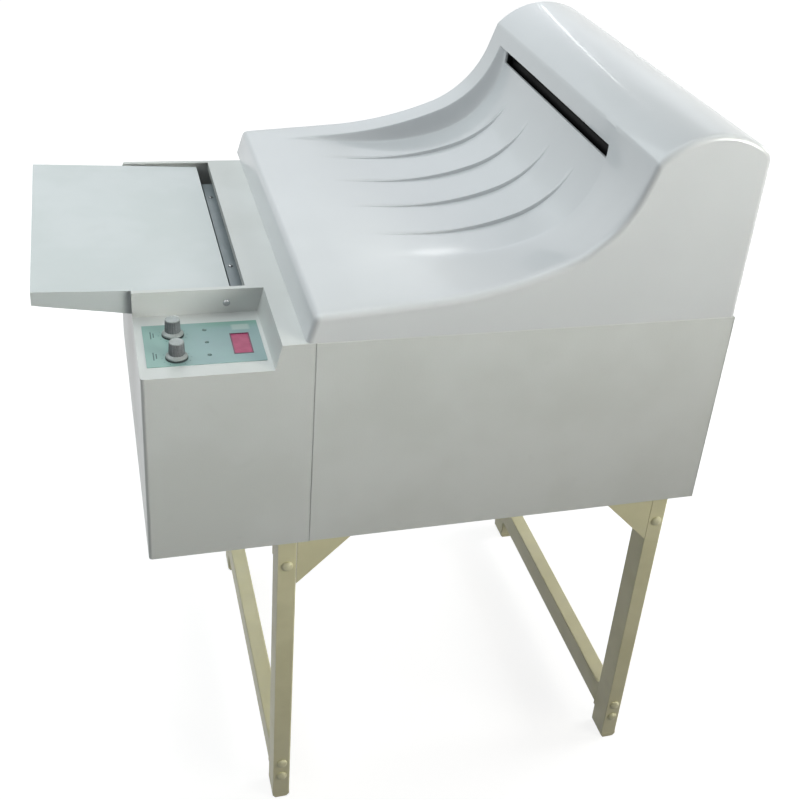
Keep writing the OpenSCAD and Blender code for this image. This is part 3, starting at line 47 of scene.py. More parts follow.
node_body = {n: body for body, names in frame["record"]["behaviour"]["bodies"].items() for n in names}
node_slot = {part["node"]: part["material_slot"] for part in frame["record"]["subparts"]}

# Bench measures are in millimetres: X from the feed end, Y from the front face, Z from the floor.
BENCH_X, BENCH_Y = 320.0, 310.0
MM = 0.001


def at(x, y, z):
    """A bench point in the frame's metres."""
    return Vector(((x - BENCH_X) * MM, (y - BENCH_Y) * MM, z * MM))


def colour(r, g, b):
    """A screen colour, 0 to 255, as linear light."""
    return tuple(((c / 255 + 0.055) / 1.055) ** 2.4 if c > 10 else c / 255 / 12.92 for c in (r, g, b)) + (1.0,)


# ---- Wiring of node trees ----


class Value:
    """A socket of a node tree that sums and products can be written with."""

    def __init__(self, tree, socket):
        self.tree, self.socket = tree, socket

    def through(self, operation, *others, clamp=False):
        """The result of a Math node that takes this value first."""
        return sums(self.tree, operation, self, *others, clamp=clamp)

    def __add__(self, other):
        return self.through("ADD", other)

    __radd__ = __add__

    def __sub__(self, other):
        return self.through("SUBTRACT", other)

    def __rsub__(self, other):
        return sums(self.tree, "SUBTRACT", other, self)

    def __mul__(self, other):
        return self.through("MULTIPLY", other)

    def __truediv__(self, other):
        return self.through("DIVIDE", other)

    def __rtruediv__(self, other):
        return sums(self.tree, "DIVIDE", other, self)

    def __pow__(self, other):
        return self.through("POWER", other)


def feed(tree, socket, value):
    """Links an input to a value's socket or a node's first output, or sets it."""
    if isinstance(value, Value):
        value = value.socket
    elif isinstance(value, bpy.types.Node):
        value = value.outputs[0]
    if isinstance(value, bpy.types.NodeSocket):
        tree.links.new(value, socket)
    elif value is not None:
        socket.default_value = value


def wire(tree, kind, sources=(), **settings):
    """Adds a node, sets it up, and links or sets its inputs by place or by name."""
    made = tree.nodes.new(kind)
    for key, value in settings.items():
        setattr(made, key, value)
    for key, value in sources.items() if isinstance(sources, dict) else enumerate(sources):
        feed(tree, made.inputs[key], value)
    return made


def sums(tree, operation, *sources, clamp=False):
    """A Math node's result."""
    return Value(tree, wire(tree, "ShaderNodeMath", sources, operation=operation, use_clamp=clamp).outputs[0])


def vectors(tree, operation, *sources):
    """A Vector Math node."""
    return wire(tree, "ShaderNodeVectorMath", sources, operation=operation)


def split(tree, vector):
    """A vector's three numbers."""
    return [Value(tree, socket) for socket in wire(tree, "ShaderNodeSeparateXYZ", (vector,)).outputs]


def joined(tree, x, y, z):
    """A vector from three numbers."""
    return wire(tree, "ShaderNodeCombineXYZ", (x, y, z))


def ramped(tree, value, low, high, to_low=0.0, to_high=1.0):
    """A value mapped smoothly from one range to another."""
    made = wire(tree, "ShaderNodeMapRange", (value, low, high, to_low, to_high), interpolation_type="SMOOTHSTEP")
    return Value(tree, made.outputs["Result"])


def blended(tree, share, first, second):
    """Two colours mixed by a share."""
    return wire(tree, "ShaderNodeMix", {"Factor": share, 6: first, 7: second}, data_type="RGBA").outputs[2]


def noise(tree, place, scale, detail, roughness, distortion=0.0):
    """A noise pattern, 0 to 1."""
    return wire(tree, "ShaderNodeTexNoise", {
        "Vector": place, "Scale": scale, "Detail": detail, "Roughness": roughness,
        "Distortion": distortion}).outputs["Fac"]


SOCKET_KINDS = ((type(None), "Geometry"), (int, "Int"), (float, "Float"), ((tuple, Vector), "Vector"),
                (bpy.types.Material, "Material"), (bpy.types.Object, "Object"))


def make_group(name, tree_kind, inputs, output_kind):
    """A node group with an input for each named value, those inputs inside it, and its one output."""
    tree = bpy.data.node_groups.new(name, tree_kind)
    for label, value in inputs.items():
        kind = next(kind for types, kind in SOCKET_KINDS if isinstance(value, types))
        socket = tree.interface.new_socket(label, in_out="INPUT", socket_type="NodeSocket" + kind)
        if kind in ("Int", "Float", "Vector"):
            socket.default_value = value
    tree.interface.new_socket("Result", in_out="OUTPUT", socket_type="NodeSocket" + output_kind)
    sockets = tree.nodes.new("NodeGroupInput").outputs
    return tree, {label: Value(tree, sockets[label]) for label in inputs}, tree.nodes.new("NodeGroupOutput").inputs[0]


# ---- Objects and meshes ----


def new_object(name, data):
    made = bpy.data.objects.new(name, data)
    bpy.context.scene.collection.objects.link(made)
    return made


def mesh_from(name, points, faces):
    mesh = bpy.data.meshes.new(name)
    mesh.from_pydata([tuple(p) for p in points], [], faces)
    mesh.update()
    return mesh


def opened(mesh):
    """A mesh opened for edits."""
    bm = bmesh.new()
    bm.from_mesh(mesh)
    return bm


def closed(bm, mesh):
    """Writes the edits into a mesh."""
    bm.to_mesh(mesh)
    bm.free()


def settled(piece):
    """Turns a piece with its modifiers into one plain mesh."""
    graph = bpy.context.evaluated_depsgraph_get()
    mesh = bpy.data.meshes.new_from_object(piece.evaluated_get(graph), preserve_all_data_layers=True, depsgraph=graph)
    mesh.name = piece.name
    piece.modifiers.clear()
    piece.data = mesh
    return piece


def modified(piece, kind, **settings):
    """Changes a piece by one modifier."""
    modifier = piece.modifiers.new(kind.lower(), kind)
    for key, value in settings.items():
        setattr(modifier, key, value)
    return settled(piece)


def evened(piece, angle=35):
    """Smooth shading that keeps flat faces flat and edges past an angle sharp."""
    piece.data.polygons.foreach_set("use_smooth", [True] * len(piece.data.polygons))
    bm = opened(piece.data)
    for edge in bm.edges:
        edge.smooth = len(edge.link_faces) == 2 and edge.calc_face_angle(0.0) < math.radians(angle)
    closed(bm, piece.data)
    return modified(piece, "WEIGHTED_NORMAL", keep_sharp=True, weight=60)


def dressed(piece, finish, body, nodes=()):
    """Gives a finished piece its material in a slot when a finish is named, sets it on the body it rides on and hides
    the nodes it stands for.
    """
    if finish:
        piece.data.materials.clear()
        piece.data.materials.append(finishes[finish])
    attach(piece, body)
    if nodes:
        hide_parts(*nodes)


WELD = 2e-6
FLAT_ANGLE, CORNER_ANGLE = math.radians(0.6), math.radians(28)


class Corner:
    """An edge's middle and length in bench millimetres, and whether it stands out and runs upright."""

    def __init__(self, edge):
        a, b = (v.co for v in edge.verts)
        middle = (a + b) / 2
        self.x, self.y, self.z = middle.x / MM + BENCH_X, middle.y / MM + BENCH_Y, middle.z / MM
        self.length, self.out = (b - a).length / MM, edge.is_convex
        self.upright = abs((b - a).normalized().z) > 0.9


def softened(node, name, radius, segments=3, finish=None):
    """A copy of a CAD node with its corners rounded. radius gives each corner's round in millimetres."""
    mesh = cad_nodes[node].data.copy()
    bm = opened(mesh)
    bmesh.ops.remove_doubles(bm, verts=bm.verts, dist=WELD)
    bmesh.ops.dissolve_limit(bm, angle_limit=FLAT_ANGLE, verts=bm.verts, edges=bm.edges)
    for layer in list(bm.loops.layers.uv):
        bm.loops.layers.uv.remove(layer)
    weight = bm.edges.layers.float.new("bevel_weight_edge")
    wanted = {}
    for edge in bm.edges:
        if len(edge.link_faces) == 2 and edge.calc_face_angle(0.0) >= CORNER_ANGLE:
            wanted[edge] = radius(Corner(edge))
    widest = max(wanted.values(), default=0)
    for edge, width in wanted.items():
        edge[weight] = width / widest if widest else 0
    mesh.clear_geometry()
    closed(bm, mesh)
    for layer in [a.name for a in mesh.attributes if a.name.startswith(("custom_normal", "sharp_"))]:
        mesh.attributes.remove(mesh.attributes[layer])
    piece = new_object(name, mesh)
    if widest:
        modified(piece, "BEVEL", limit_method="WEIGHT", width=widest * MM, segments=segments, use_clamp_overlap=True,
                 miter_outer="MITER_ARC")
    dressed(evened(piece), finish or node_slot[node], node_body[node], [node])


def turned(outline, sides):
    """A closed turned shape about Z from its outline of radius and height, both in millimetres, top first."""
    points, faces, rings = [], [], []
    for r, z in outline:
        turns = [2 * math.pi * k / sides for k in range(sides)] if r > 1e-6 else [0]
        rings.append(range(len(points), len(points) + len(turns)))
        points += [(r * MM * math.cos(a), r * MM * math.sin(a), z * MM) for a in turns]
    for upper, lower in zip(rings, rings[1:]):
        for k in range(sides):
            n = (k + 1) % sides
            face = [upper[k % len(upper)], lower[k % len(lower)], lower[n % len(lower)], upper[n % len(upper)]]
            faces.append([v for i, v in enumerate(face) if v not in face[:i]])
    return mesh_from("turned", points, faces)


def shifted(mesh, place):
    mesh.transform(Matrix.Translation(place))
    return mesh


def box_mesh(low, high):
    points = [(x, y, z) for x in (low[0], high[0]) for y in (low[1], high[1]) for z in (low[2], high[2])]
    sides = [(0, 1, 3, 2), (4, 6, 7, 5), (0, 4, 5, 1), (2, 3, 7, 6), (0, 2, 6, 4), (1, 5, 7, 3)]
    return mesh_from("box", points, sides)


def carve(piece, low, high):
    """Takes a box out of a piece. Its corners are in metres."""
    cutter = new_object("cutter", box_mesh(low, high))
    modified(piece, "BOOLEAN", operation="DIFFERENCE", object=cutter, solver="EXACT")
    bpy.data.objects.remove(cutter)


rules = {}


def grown(piece, rule, finish, values):
    """Runs a rule, as a Geometry Nodes tree with its inputs set by name, and keeps the result as a plain mesh. The
    rule takes the piece's geometry and the values in their order."""
    values = {**values, "Finish": finishes[finish]}
    if rule not in rules:
        tree, given, result = make_group(rule.__name__, "GeometryNodeTree", {"Geometry": None, **values}, "Geometry")
        *taken, material = given.values()
        real = wire(tree, "GeometryNodeRealizeInstances", (rule(tree, *taken),))
        painted = wire(tree, "GeometryNodeSetMaterial", {"Geometry": real, "Material": material})
        feed(tree, result, painted)
        rules[rule] = tree
    modifier = piece.modifiers.new(rule.__name__, "NODES")
    modifier.node_group = rules[rule]
    for item in modifier.node_group.interface.items_tree:
        if item.item_type == "SOCKET" and item.in_out == "INPUT" and item.name in values:
            modifier[item.identifier] = values[item.name]
    settled(piece)
    for name in ("tray_share", "inward", "facing"):
        if name in piece.data.attributes:
            piece.data.attributes.remove(piece.data.attributes[name])
    return piece


def stored(tree, name, kind):
    """A value that a mesh carries on its points."""
    made = wire(tree, "GeometryNodeInputNamedAttribute", {"Name": name}, data_type=kind)
    return Value(tree, made.outputs["Attribute"])


def instances(tree, points, shape, rotation=None):
    """A shape on every point."""
    return wire(tree, "GeometryNodeInstanceOnPoints", {"Points": points, "Instance": shape, "Rotation": rotation})


def own_shape(tree, source):
    """An object's shape, unmoved."""
    return wire(tree, "GeometryNodeObjectInfo", {"Object": source}, transform_space="ORIGINAL").outputs["Geometry"]


# ---- Camera, lamps, floor and backdrop ----

# The camera's turns about X, Y and Z in degrees, and its bench place
CAMERA_TURNS = (59.8664, -5.9881, -17.7404)
CAMERA_PLACE = (-44.614, -1167.085, 1477.453)
FOCAL_PIXELS = 1167.75
PICTURE_MIDDLE = (483.08, 356.73)
PICTURE = 800
FLOOR_REACH = 12.0

# Place, aim, size, power and tint, then the spread in degrees and the way that the long side lies
LAMPS = {
    "ceiling": ((-0.9, 0.7, 2.7), (-0.1, 0.1, 0.8), (2.8, 2.2), 41, (0.92, 0.99, 1.0)),
    "left_window": ((-1.7, -1.8, 2.3), (-0.2, -0.2, 0.75), (1.8, 1.2), 6, (0.94, 0.97, 1.0)),
    "front_window": ((2.2, -2.2, 2.0), (0.0, -0.1, 0.8), (1.6, 1.0), 28, (1.0, 0.95, 0.83)),
    "front_reflector": ((1.6, -2.1, 1.5), (0.0, -0.3, 1.2), (2.0, 0.4), 5.4, (0.98, 1.0, 0.96), 50),
    "far_window": ((0.6, 2.4, 2.0), (0.3, 0.0, 1.0), (2.6, 0.7), 1.0, (0.84, 0.9, 1.0), 100),
    "right_side": ((2.5, 0.1, 1.3), (0.3, 0.0, 0.1), (1.2, 0.8), 4, (1.0, 1.0, 1.0), 60),
    "rear_strip": ((0.666, 1.85, 1.884), (0.33, 0.09, 1.036), (0.62, 0.028), 0.3, (1.0, 1.0, 1.0), 180,
                   (-0.385, -0.443, 0.306)),
}


def make_camera():
    data = bpy.data.cameras.new("camera")
    camera = new_object("camera", data)
    turn = Euler([math.radians(angle) for angle in CAMERA_TURNS]).to_matrix().to_4x4()
    camera.matrix_world = Matrix.Translation(at(*CAMERA_PLACE)) @ turn
    data.sensor_width = 36
    data.lens = FOCAL_PIXELS / PICTURE * data.sensor_width
    data.shift_x = (PICTURE / 2 - PICTURE_MIDDLE[0]) / PICTURE
    data.shift_y = (PICTURE_MIDDLE[1] - PICTURE / 2) / PICTURE
    data.clip_end = 50
    bpy.context.scene.camera = camera


def make_lamp(name, place, aim, size, power, tint, spread=180, along=None):
    """A rectangular lamp that faces its aim, its long side level or along a given way."""
    data = bpy.data.lights.new(name, "AREA")
    data.shape = "RECTANGLE"
    data.size, data.size_y = size
    data.energy = power
    data.color = tint
    data.spread = math.radians(spread)
    back = (Vector(place) - Vector(aim)).normalized()
    side = Vector(along) if along else Vector((0, 0, 1)).cross(back)
    side = (side - back * side.dot(back)).normalized()
    turn = Matrix((side, back.cross(side), back)).transposed().to_4x4()
    new_object(name, data).matrix_world = Matrix.Translation(place) @ turn


def seen_directly(tree):
    """1 for rays from the camera, a mirror or glass, and 0 for light that falls on things."""
    path = tree.nodes.new("ShaderNodeLightPath").outputs
    mirrored = sums(tree, "MAXIMUM", path["Is Camera Ray"], path["Is Glossy Ray"])
    return mirrored.through("MAXIMUM", path["Is Transmission Ray"])


def make_world():
    world = bpy.data.worlds.new("studio")
    world.use_nodes = True
    tree = world.node_tree
    tree.nodes.clear()
    fill = wire(tree, "ShaderNodeBackground", {"Color": (0.97, 0.99, 1.0, 1), "Strength": 0.09})
    white = wire(tree, "ShaderNodeBackground", {"Color": (1, 1, 1, 1), "Strength": 1.0})
    mix = wire(tree, "ShaderNodeMixShader", (seen_directly(tree), fill, white))
    wire(tree, "ShaderNodeOutputWorld", (mix,))
    bpy.context.scene.world = world


def make_floor():
    """A pale floor that shows white, and still keeps the object's shadow."""
    corners = [(x * FLOOR_REACH, y * FLOOR_REACH, 0) for x, y in ((-1, -1), (1, -1), (1, 1), (-1, 1))]
    floor = new_object("floor", mesh_from("floor", corners, [(0, 1, 2, 3)]))
    paper = bpy.data.materials.new("pale_floor")
    paper.use_nodes = True
    tree = paper.node_tree
    tree.nodes.clear()
    bounce = wire(tree, "ShaderNodeBsdfDiffuse", {"Color": (0.2, 0.2, 0.195, 1)})
    shade = wire(tree, "ShaderNodeBsdfDiffuse", {"Color": (0.34, 0.34, 0.34, 1)})
    place = tree.nodes.new("ShaderNodeTexCoord").outputs["Object"]
    away = vectors(tree, "LENGTH", place).outputs["Value"]
    strength = ramped(tree, away, 0.5, 1.8, 0.84, 1.0)
    glow = wire(tree, "ShaderNodeEmission", {"Color": (1, 1, 1, 1), "Strength": strength})
    shown = wire(tree, "ShaderNodeAddShader", (shade, glow))
    mix = wire(tree, "ShaderNodeMixShader", (seen_directly(tree), bounce, shown))
    wire(tree, "ShaderNodeOutputMaterial", (mix,))
    floor.data.materials.append(paper)


# ---- Effects that several finishes share, each a shader group. Sizes are in metres ----


def cloudy_patches(tree, place, patch_size):
    return ramped(tree, noise(tree, place, 1.0 / patch_size, 3.0, 0.55), 0.36, 0.64)


def wiping_marks(tree, place, mark_size, cover):
    """Marks left by hands and cloths."""
    stretched = vectors(tree, "MULTIPLY", place, (1.0, 0.55, 1.4))
    low = 0.78 - cover * 0.4
    return ramped(tree, noise(tree, stretched, 1.0 / mark_size, 2.5, 0.5, 0.6), low, low + 0.26)


def spray_ripple(tree, place, grain_size):
    """The fine waviness of sprayed paint and moulded plastic."""
    return noise(tree, place, 1.0 / grain_size, 2.0, 0.5)


def rubbed_edges(tree, place, reach, break_size):
    """Edges where the rounded normal leaves the true one, broken up by noise."""
    rounded = wire(tree, "ShaderNodeBevel", {"Radius": reach}, samples=4)
    true = tree.nodes.new("ShaderNodeNewGeometry").outputs["Normal"]
    agree = vectors(tree, "DOT_PRODUCT", rounded, true).outputs["Value"]
    return ramped(tree, agree, 0.995, 0.9) * ramped(tree, noise(tree, place, 1.0 / break_size, 4.0, 0.7), 0.44, 0.62)


def floor_dust(tree, place, top):
    """Dust that settles low down."""
    level = sums(tree, "SUBTRACT", 1.0, split(tree, place)[2] / top, clamp=True)
    return level * ramped(tree, noise(tree, place, 28.0, 4.0, 0.65), 0.3, 0.75)


def drawn_lines(tree, place, squeeze):
    """Fine lines along one direction."""
    return ramped(tree, noise(tree, vectors(tree, "MULTIPLY", place, squeeze), 1.0, 3.0, 0.6), 0.3, 0.7)


EFFECT_SIZES = {
    cloudy_patches: {"Patch size": 0.1},
    wiping_marks: {"Mark size": 0.05, "Cover": 0.5},
    spray_ripple: {"Grain size": 0.002},
    rubbed_edges: {"Reach": 0.001, "Break size": 0.01},
    floor_dust: {"Top": 0.2},
    drawn_lines: {"Squeeze": (1.0, 1.0, 1.0)},
}


def make_effects():
    groups = {}
    for rule, sizes in EFFECT_SIZES.items():
        tree, given, result = make_group(rule.__name__, "ShaderNodeTree", {"Place": (0.0, 0.0, 0.0), **sizes}, "Float")
        feed(tree, result, rule(tree, *given.values()))
        groups[rule] = tree
    return groups


def effect(tree, rule, place, *sizes):
    """One shared effect placed in a material, with its own sizes."""
    return Value(tree, wire(tree, "ShaderNodeGroup", (place, *sizes), node_tree=effects[rule]).outputs[0])


# ---- Finishes ----

# Name, two tones, the size of their clouds, the roughness when clean and when marked, and the extras: for each effect
# its tone, sizes and amount, for grain its size, strength and depth, for marks, which are rougher, size and cover, and
# for coat its weight and roughness
FINISHES = {
    "stand_paint": ("khaki_powder_paint", (230, 225, 187), (222, 217, 178), 0.09, (0.42, 0.56), dict(
        grain=(0.0016, 0.35, 0.0003), dirt=((204, 199, 164), 0.035, 0.45, 0.3),
        worn=((238, 236, 214), 0.0012, 0.007, 0.25), dust=((212, 209, 190), 0.16, 0.4))),
    # The bolts carry the legs' paint made a little lighter: painted light on the lit domes of their heads.
    "bolt_paint": ("khaki_painted_bolts", (232, 228, 192), (222, 218, 180), 0.02, (0.36, 0.5), dict(
        grain=(0.0012, 0.4, 0.0003), worn=((242, 240, 222), 0.0009, 0.004, 0.5))),
    "cabinet_paint": ("cabinet_grey_paint", (216, 219, 217), (210, 213, 210), 0.16, (0.34, 0.46), dict(
        grain=(0.0022, 0.28, 0.0003), dirt=((186, 188, 183), 0.05, 0.3, 0.3),
        worn=((232, 233, 231), 0.0008, 0.012, 0.35))),
    "tray_paint": ("tray_white_paint", (209, 215, 216), (203, 210, 210), 0.12, (0.32, 0.44), dict(
        grain=(0.0020, 0.22, 0.0003), dirt=((196, 200, 200), 0.045, 0.32, 0.28),
        worn=((238, 240, 240), 0.0008, 0.012, 0.3))),
    "cover_gloss": ("cover_moulded_gloss", (218, 221, 223), (214, 217, 219), 0.25, (0.28, 0.33), dict(
        grain=(0.006, 0.12, 0.0004), dirt=((200, 203, 204), 0.16, 0.2, 0.12), coat=(0.35, 0.06))),
    "steel": ("zinc_plated_steel", (178, 180, 182), (160, 162, 165), 0.01, (0.3, 0.45), dict(
        metallic=1.0, grain=(0.0009, 0.3, 0.0001), worn=((225, 225, 225), 0.0004, 0.002, 0.5))),
    "guide_steel": ("slate_guide_strip", (158, 168, 172), (144, 155, 159), 0.05, (0.36, 0.52), dict(
        metallic=0.2, lines=((164, 172, 176), (900.0, 12.0, 900.0), 0.35), worn=((180, 187, 189), 0.0004, 0.004, 0.6),
        dirt=((116, 126, 130), 0.02, 0.4, 0.5))),
    "circuit_green": ("coated_circuit_board", (20, 92, 52), (14, 76, 44), 0.01, (0.3, 0.42), dict(
        lines=((36, 120, 70), (40.0, 700.0, 40.0), 0.5))),
    "lens_green": ("small_lens_green", (70, 104, 98), (58, 92, 86), 0.003, (0.12, 0.2), dict(coat=(0.5, 0.05))),
    "tank_pvc": ("tank_grey_plastic", (128, 132, 136), (118, 122, 127), 0.08, (0.4, 0.55), dict(
        grain=(0.003, 0.2, 0.0004), dirt=((104, 100, 90), 0.03, 0.4, 0.4), worn=((150, 153, 156), 0.0006, 0.006, 0.4))),
    "rack_plastic": ("rack_dark_plastic", (84, 87, 94), (74, 77, 84), 0.06, (0.42, 0.56), dict(
        grain=(0.0015, 0.3, 0.0002), dirt=((98, 94, 84), 0.025, 0.4, 0.4), worn=((116, 118, 122), 0.0005, 0.005, 0.4))),
    "roller_rubber": ("roller_soft_rubber", (20, 21, 22), (15, 16, 17), 0.04, (0.6, 0.75), dict(
        grain=(0.0008, 0.4, 0.0001), dirt=((34, 33, 30), 0.03, 0.4, 0.3), specular=0.12)),
    "roller_plastic": ("roller_smooth_plastic", (80, 83, 88), (70, 73, 78), 0.05, (0.34, 0.48), dict(
        grain=(0.002, 0.15, 0.0002), lines=((92, 90, 84), (14.0, 60.0, 14.0), 0.3))),
    "belt_rubber": ("belt_black_rubber", (28, 28, 28), (22, 22, 22), 0.02, (0.6, 0.75), dict(
        grain=(0.0006, 0.5, 0.0001), worn=((58, 58, 58), 0.0005, 0.003, 0.5))),
    "impeller_blue": ("impeller_blue_plastic", (58, 92, 126), (50, 82, 114), 0.03, (0.36, 0.5), dict(
        grain=(0.002, 0.2, 0.0002), dirt=((86, 92, 98), 0.02, 0.45, 0.5))),
    "motor_dark": ("motor_dark_casing", (40, 43, 49), (34, 36, 42), 0.04, (0.4, 0.55), dict(
        grain=(0.0012, 0.5, 0.0003), worn=((112, 114, 118), 0.0007, 0.004, 0.5))),
    "box_grey": ("box_pale_plastic", (188, 190, 186), (178, 181, 177), 0.05, (0.42, 0.55), dict(
        grain=(0.0012, 0.4, 0.0002), worn=((206, 207, 204), 0.0006, 0.006, 0.4))),
    "knob_grey": ("knob_grey_plastic", (116, 119, 122), (106, 109, 112), 0.006, (0.42, 0.55), dict(
        grain=(0.0006, 0.3, 0.0001), worn=((150, 152, 154), 0.0005, 0.002, 0.5))),
    "knob_cap": ("knob_pale_cap", (156, 163, 162), (146, 153, 152), 0.006, (0.3, 0.4), dict(
        metallic=0.2, lines=((186, 190, 189), (1800.0, 60.0, 60.0), 0.25))),
    # The washer's dark tone paints the shadow round the foot of each knob.
    "knob_ring": ("knob_dark_washer", (44, 56, 56), (36, 46, 46), 0.004, (0.5, 0.62), dict(
        grain=(0.0006, 0.3, 0.0001))),
    "print_dark": ("printed_marks", (58, 92, 92), (50, 82, 82), 0.003, (0.4, 0.5), {}),
    "window_rim": ("window_dark_rim", (118, 54, 86), (104, 46, 76), 0.004, (0.3, 0.4), {}),
    "window_pink": ("display_pink_pane", (190, 70, 114), (180, 60, 104), 0.012, (0.22, 0.34), dict(
        marks=(0.02, 0.5), coat=(0.12, 0.08), specular=0.3)),
}


def new_finish(name, marks, rough, grain):
    """A material with its tree, its surface shader and the place that its patterns read, rough and rippled."""
    made = bpy.data.materials.new(name)
    made.use_nodes = True
    tree = made.node_tree
    place = tree.nodes.new("ShaderNodeTexCoord").outputs["Object"]
    inputs = tree.nodes["Principled BSDF"].inputs
    feed(tree, inputs["Roughness"], ramped(tree, effect(tree, wiping_marks, place, *marks), 0.0, 1.0, *rough))
    if grain:
        size, strength, distance = grain
        height = effect(tree, spray_ripple, place, size)
        bump = wire(tree, "ShaderNodeBump", {"Height": height, "Strength": strength, "Distance": distance})
        feed(tree, inputs["Normal"], bump)
    return made, tree, inputs, place


def make_finish(name, light, dark, patch, rough, grain=None, marks=(0.06, 0.6), dirt=None, worn=None, dust=None,
                lines=None, metallic=0.0, coat=(0.0, 0.03), specular=0.5):
    """A procedural finish, from a row of the table above."""
    made, tree, inputs, place = new_finish(name, marks, rough, grain)
    for label, value in (("Metallic", metallic), ("Specular IOR Level", specular), ("Coat Weight", coat[0]),
                         ("Coat Roughness", coat[1])):
        inputs[label].default_value = value
    tone = blended(tree, effect(tree, cloudy_patches, place, patch), colour(*light), colour(*dark))
    for rule, wanted in ((drawn_lines, lines), (wiping_marks, dirt), (floor_dust, dust), (rubbed_edges, worn)):
        if wanted:
            over, *sizes, amount = wanted
            tone = blended(tree, effect(tree, rule, place, *sizes) * amount, tone, colour(*over))
    feed(tree, inputs["Base Color"], tone)
    return made


def make_fascia_print():
    """The membrane's print: green to the feed side, bluer in the middle, with a deeper band along the back."""
    made, tree, inputs, place = new_finish("fascia_teal_print", (0.03, 0.6), (0.36, 0.5), (0.0007, 0.2, 0.0001))
    x, y, _ = split(tree, place)
    x, y = x.through("MULTIPLY_ADD", 1000.0, BENCH_X), y.through("MULTIPLY_ADD", 1000.0, BENCH_Y)

    def within(value, *limits):
        """1 between the inner two of four limits, fading to 0 at the outer two."""
        return ramped(tree, value, *limits[:2]) * ramped(tree, value, *limits[:1:-1])

    tone = colour(139, 175, 168)
    for share, over in (
            (ramped(tree, x, 20.0, 80.0), (144, 171, 172)),
            (effect(tree, cloudy_patches, place, 0.03) * 0.3, (146, 182, 176)),
            (ramped(tree, y, 104.0, 120.0) * ramped(tree, x, 60.0, 100.0) * 0.6, (118, 170, 150)),
            (within(x, 113.0, 117.0, 134.0, 138.0) * within(y, 100.0, 103.0, 113.0, 116.0) * 0.55, (196, 208, 200))):
        tone = blended(tree, share, tone, colour(*over))
    feed(tree, inputs["Base Color"], tone)
    return made


# ---- The top cover ----

# The step, the receiving tray's sweep and the hood, in millimetres and degrees
COVER_FOOT, COVER_END, COVER_BACK = 790.3, 755.0, 620.0
STEP_FOOT, STEP_TOP = 188.0, np.array([198.0, 825.0])
HOOD_MIDDLE, HOOD_RADIUS, HOOD_START, HOOD_STOP = np.array([684.0, 932.0]), 108.9, 139.0, 56.0
SWEEP_RADIUS, LONG_RADIUS = 158.0, 555.0
RISE, MID, LOW = 71.0, 22.0, 4.0
RISE_LENGTH = 36.0
TRAY_START = 250.0
COVER_ROUND = 8.0
COVER_WALL = 3.5
SLOT = (142.0, 556.0, 957.5, 976.0)
LIP_UP, LIP_STEP = 11.0, 1.0
TRAY_EDGE, TRAY_DEPTH, TRAY_FRONT, TRAY_BACK, WALL_RUN = 12.0, 30.0, 145.0, 570.0, 14.0
RIB_FIRST, RIB_PITCH, RIB_COUNT = 212.0, 92.0, 4
# Rows of points: along the tray, over its front slope, floor and back wall, and across each rib from its middle
TRAY_ROWS, FRONT_ROWS, FLOOR_ROWS, WALL_ROWS, LAST_ROW = 112, 18, 36, 26, 590.0
RIB_ROWS = (-4.5, -2.6, -2, -1.6, -1.2, -0.8, -0.4, 0, 0.6, 1.3, 2.1, 3, 4, 5, 6, 7, 8, 10.5)


def polar(radius, degrees):
    a = math.radians(degrees)
    return radius * np.array([math.cos(a), math.sin(a)])


def unit(v):
    return v / np.linalg.norm(v)


def inside_of(way):
    """The way to the right of a heading, which points into the cover."""
    return np.array([way[1], -way[0]])


def curved(a, corner, b, shares):
    """Points along a curve that leaves a and reaches b along the lines to a corner."""
    return [(1 - t) ** 2 * a + 2 * t * (1 - t) * corner + t * t * b for t in shares]


def receiving_tray(tree, cover, depth, slope_start, slope_end, back_edge, wall_run, edge, lip_share, lip_start,
                   rib_count, first_rib, rib_pitch, rib_height, front_half, back_half, rib_from, rib_to):
    """Sinks a flat cover by how far along and across a point lies, brings the hood's face forward over the exit
    slot, and raises the ribs."""

    def way_along(value, start, stop):
        return (value - start).through("DIVIDE", stop - start, clamp=True)

    share, inward = stored(tree, "tray_share", "FLOAT"), stored(tree, "inward", "FLOAT_VECTOR")
    y = split(tree, tree.nodes.new("GeometryNodeInputPosition").outputs[0])[1] + BENCH_Y * MM
    length_wave = (share ** 1.5 * math.pi).through("SINE")
    front = 1.0 - (1.0 - way_along(y, slope_start, slope_end)) ** 1.25
    # The back wall leaves its top edge in a round, and meets the floor in a small fillet
    square = edge * edge

    def eased(value):
        return (value * value + square).through("SQRT") - edge

    rise = (back_edge - y).through("DIVIDE", wall_run, clamp=True)
    back = 1.0 - (1.0 - eased(rise) / eased(1.0)) ** 2.5
    # Over the slot the hood's face comes forward, from nothing at the slot's front end
    forward = way_along(y, lip_start, back_edge - wall_run)
    forward = forward * share.through("GREATER_THAN", lip_share)
    sink = depth * length_wave * (front * back * (1.0 - forward))

    from_first = y - first_rib
    nearest = (from_first / rib_pitch).through("ROUND").through("MAXIMUM", 0.0)
    off = from_first - nearest.through("MINIMUM", rib_count - 1.0) * rib_pitch
    ahead = off.through("LESS_THAN", 0.0)
    half = ahead * front_half + (1.0 - ahead) * back_half
    section = (off.through("ABSOLUTE").through("DIVIDE", half, clamp=True) * (math.pi / 2)).through("COSINE")
    swell = (way_along(share, rib_from, rib_to) ** 1.9 * math.pi).through("SINE")
    rib = rib_height * swell * section

    shift = vectors(tree, "SCALE", inward, None, None, sink - rib)
    moved = wire(tree, "GeometryNodeSetPosition", {"Geometry": cover, "Offset": shift})
    return wire(tree, "GeometryNodeSetShadeSmooth", {"Geometry": moved, "Shade Smooth": True})


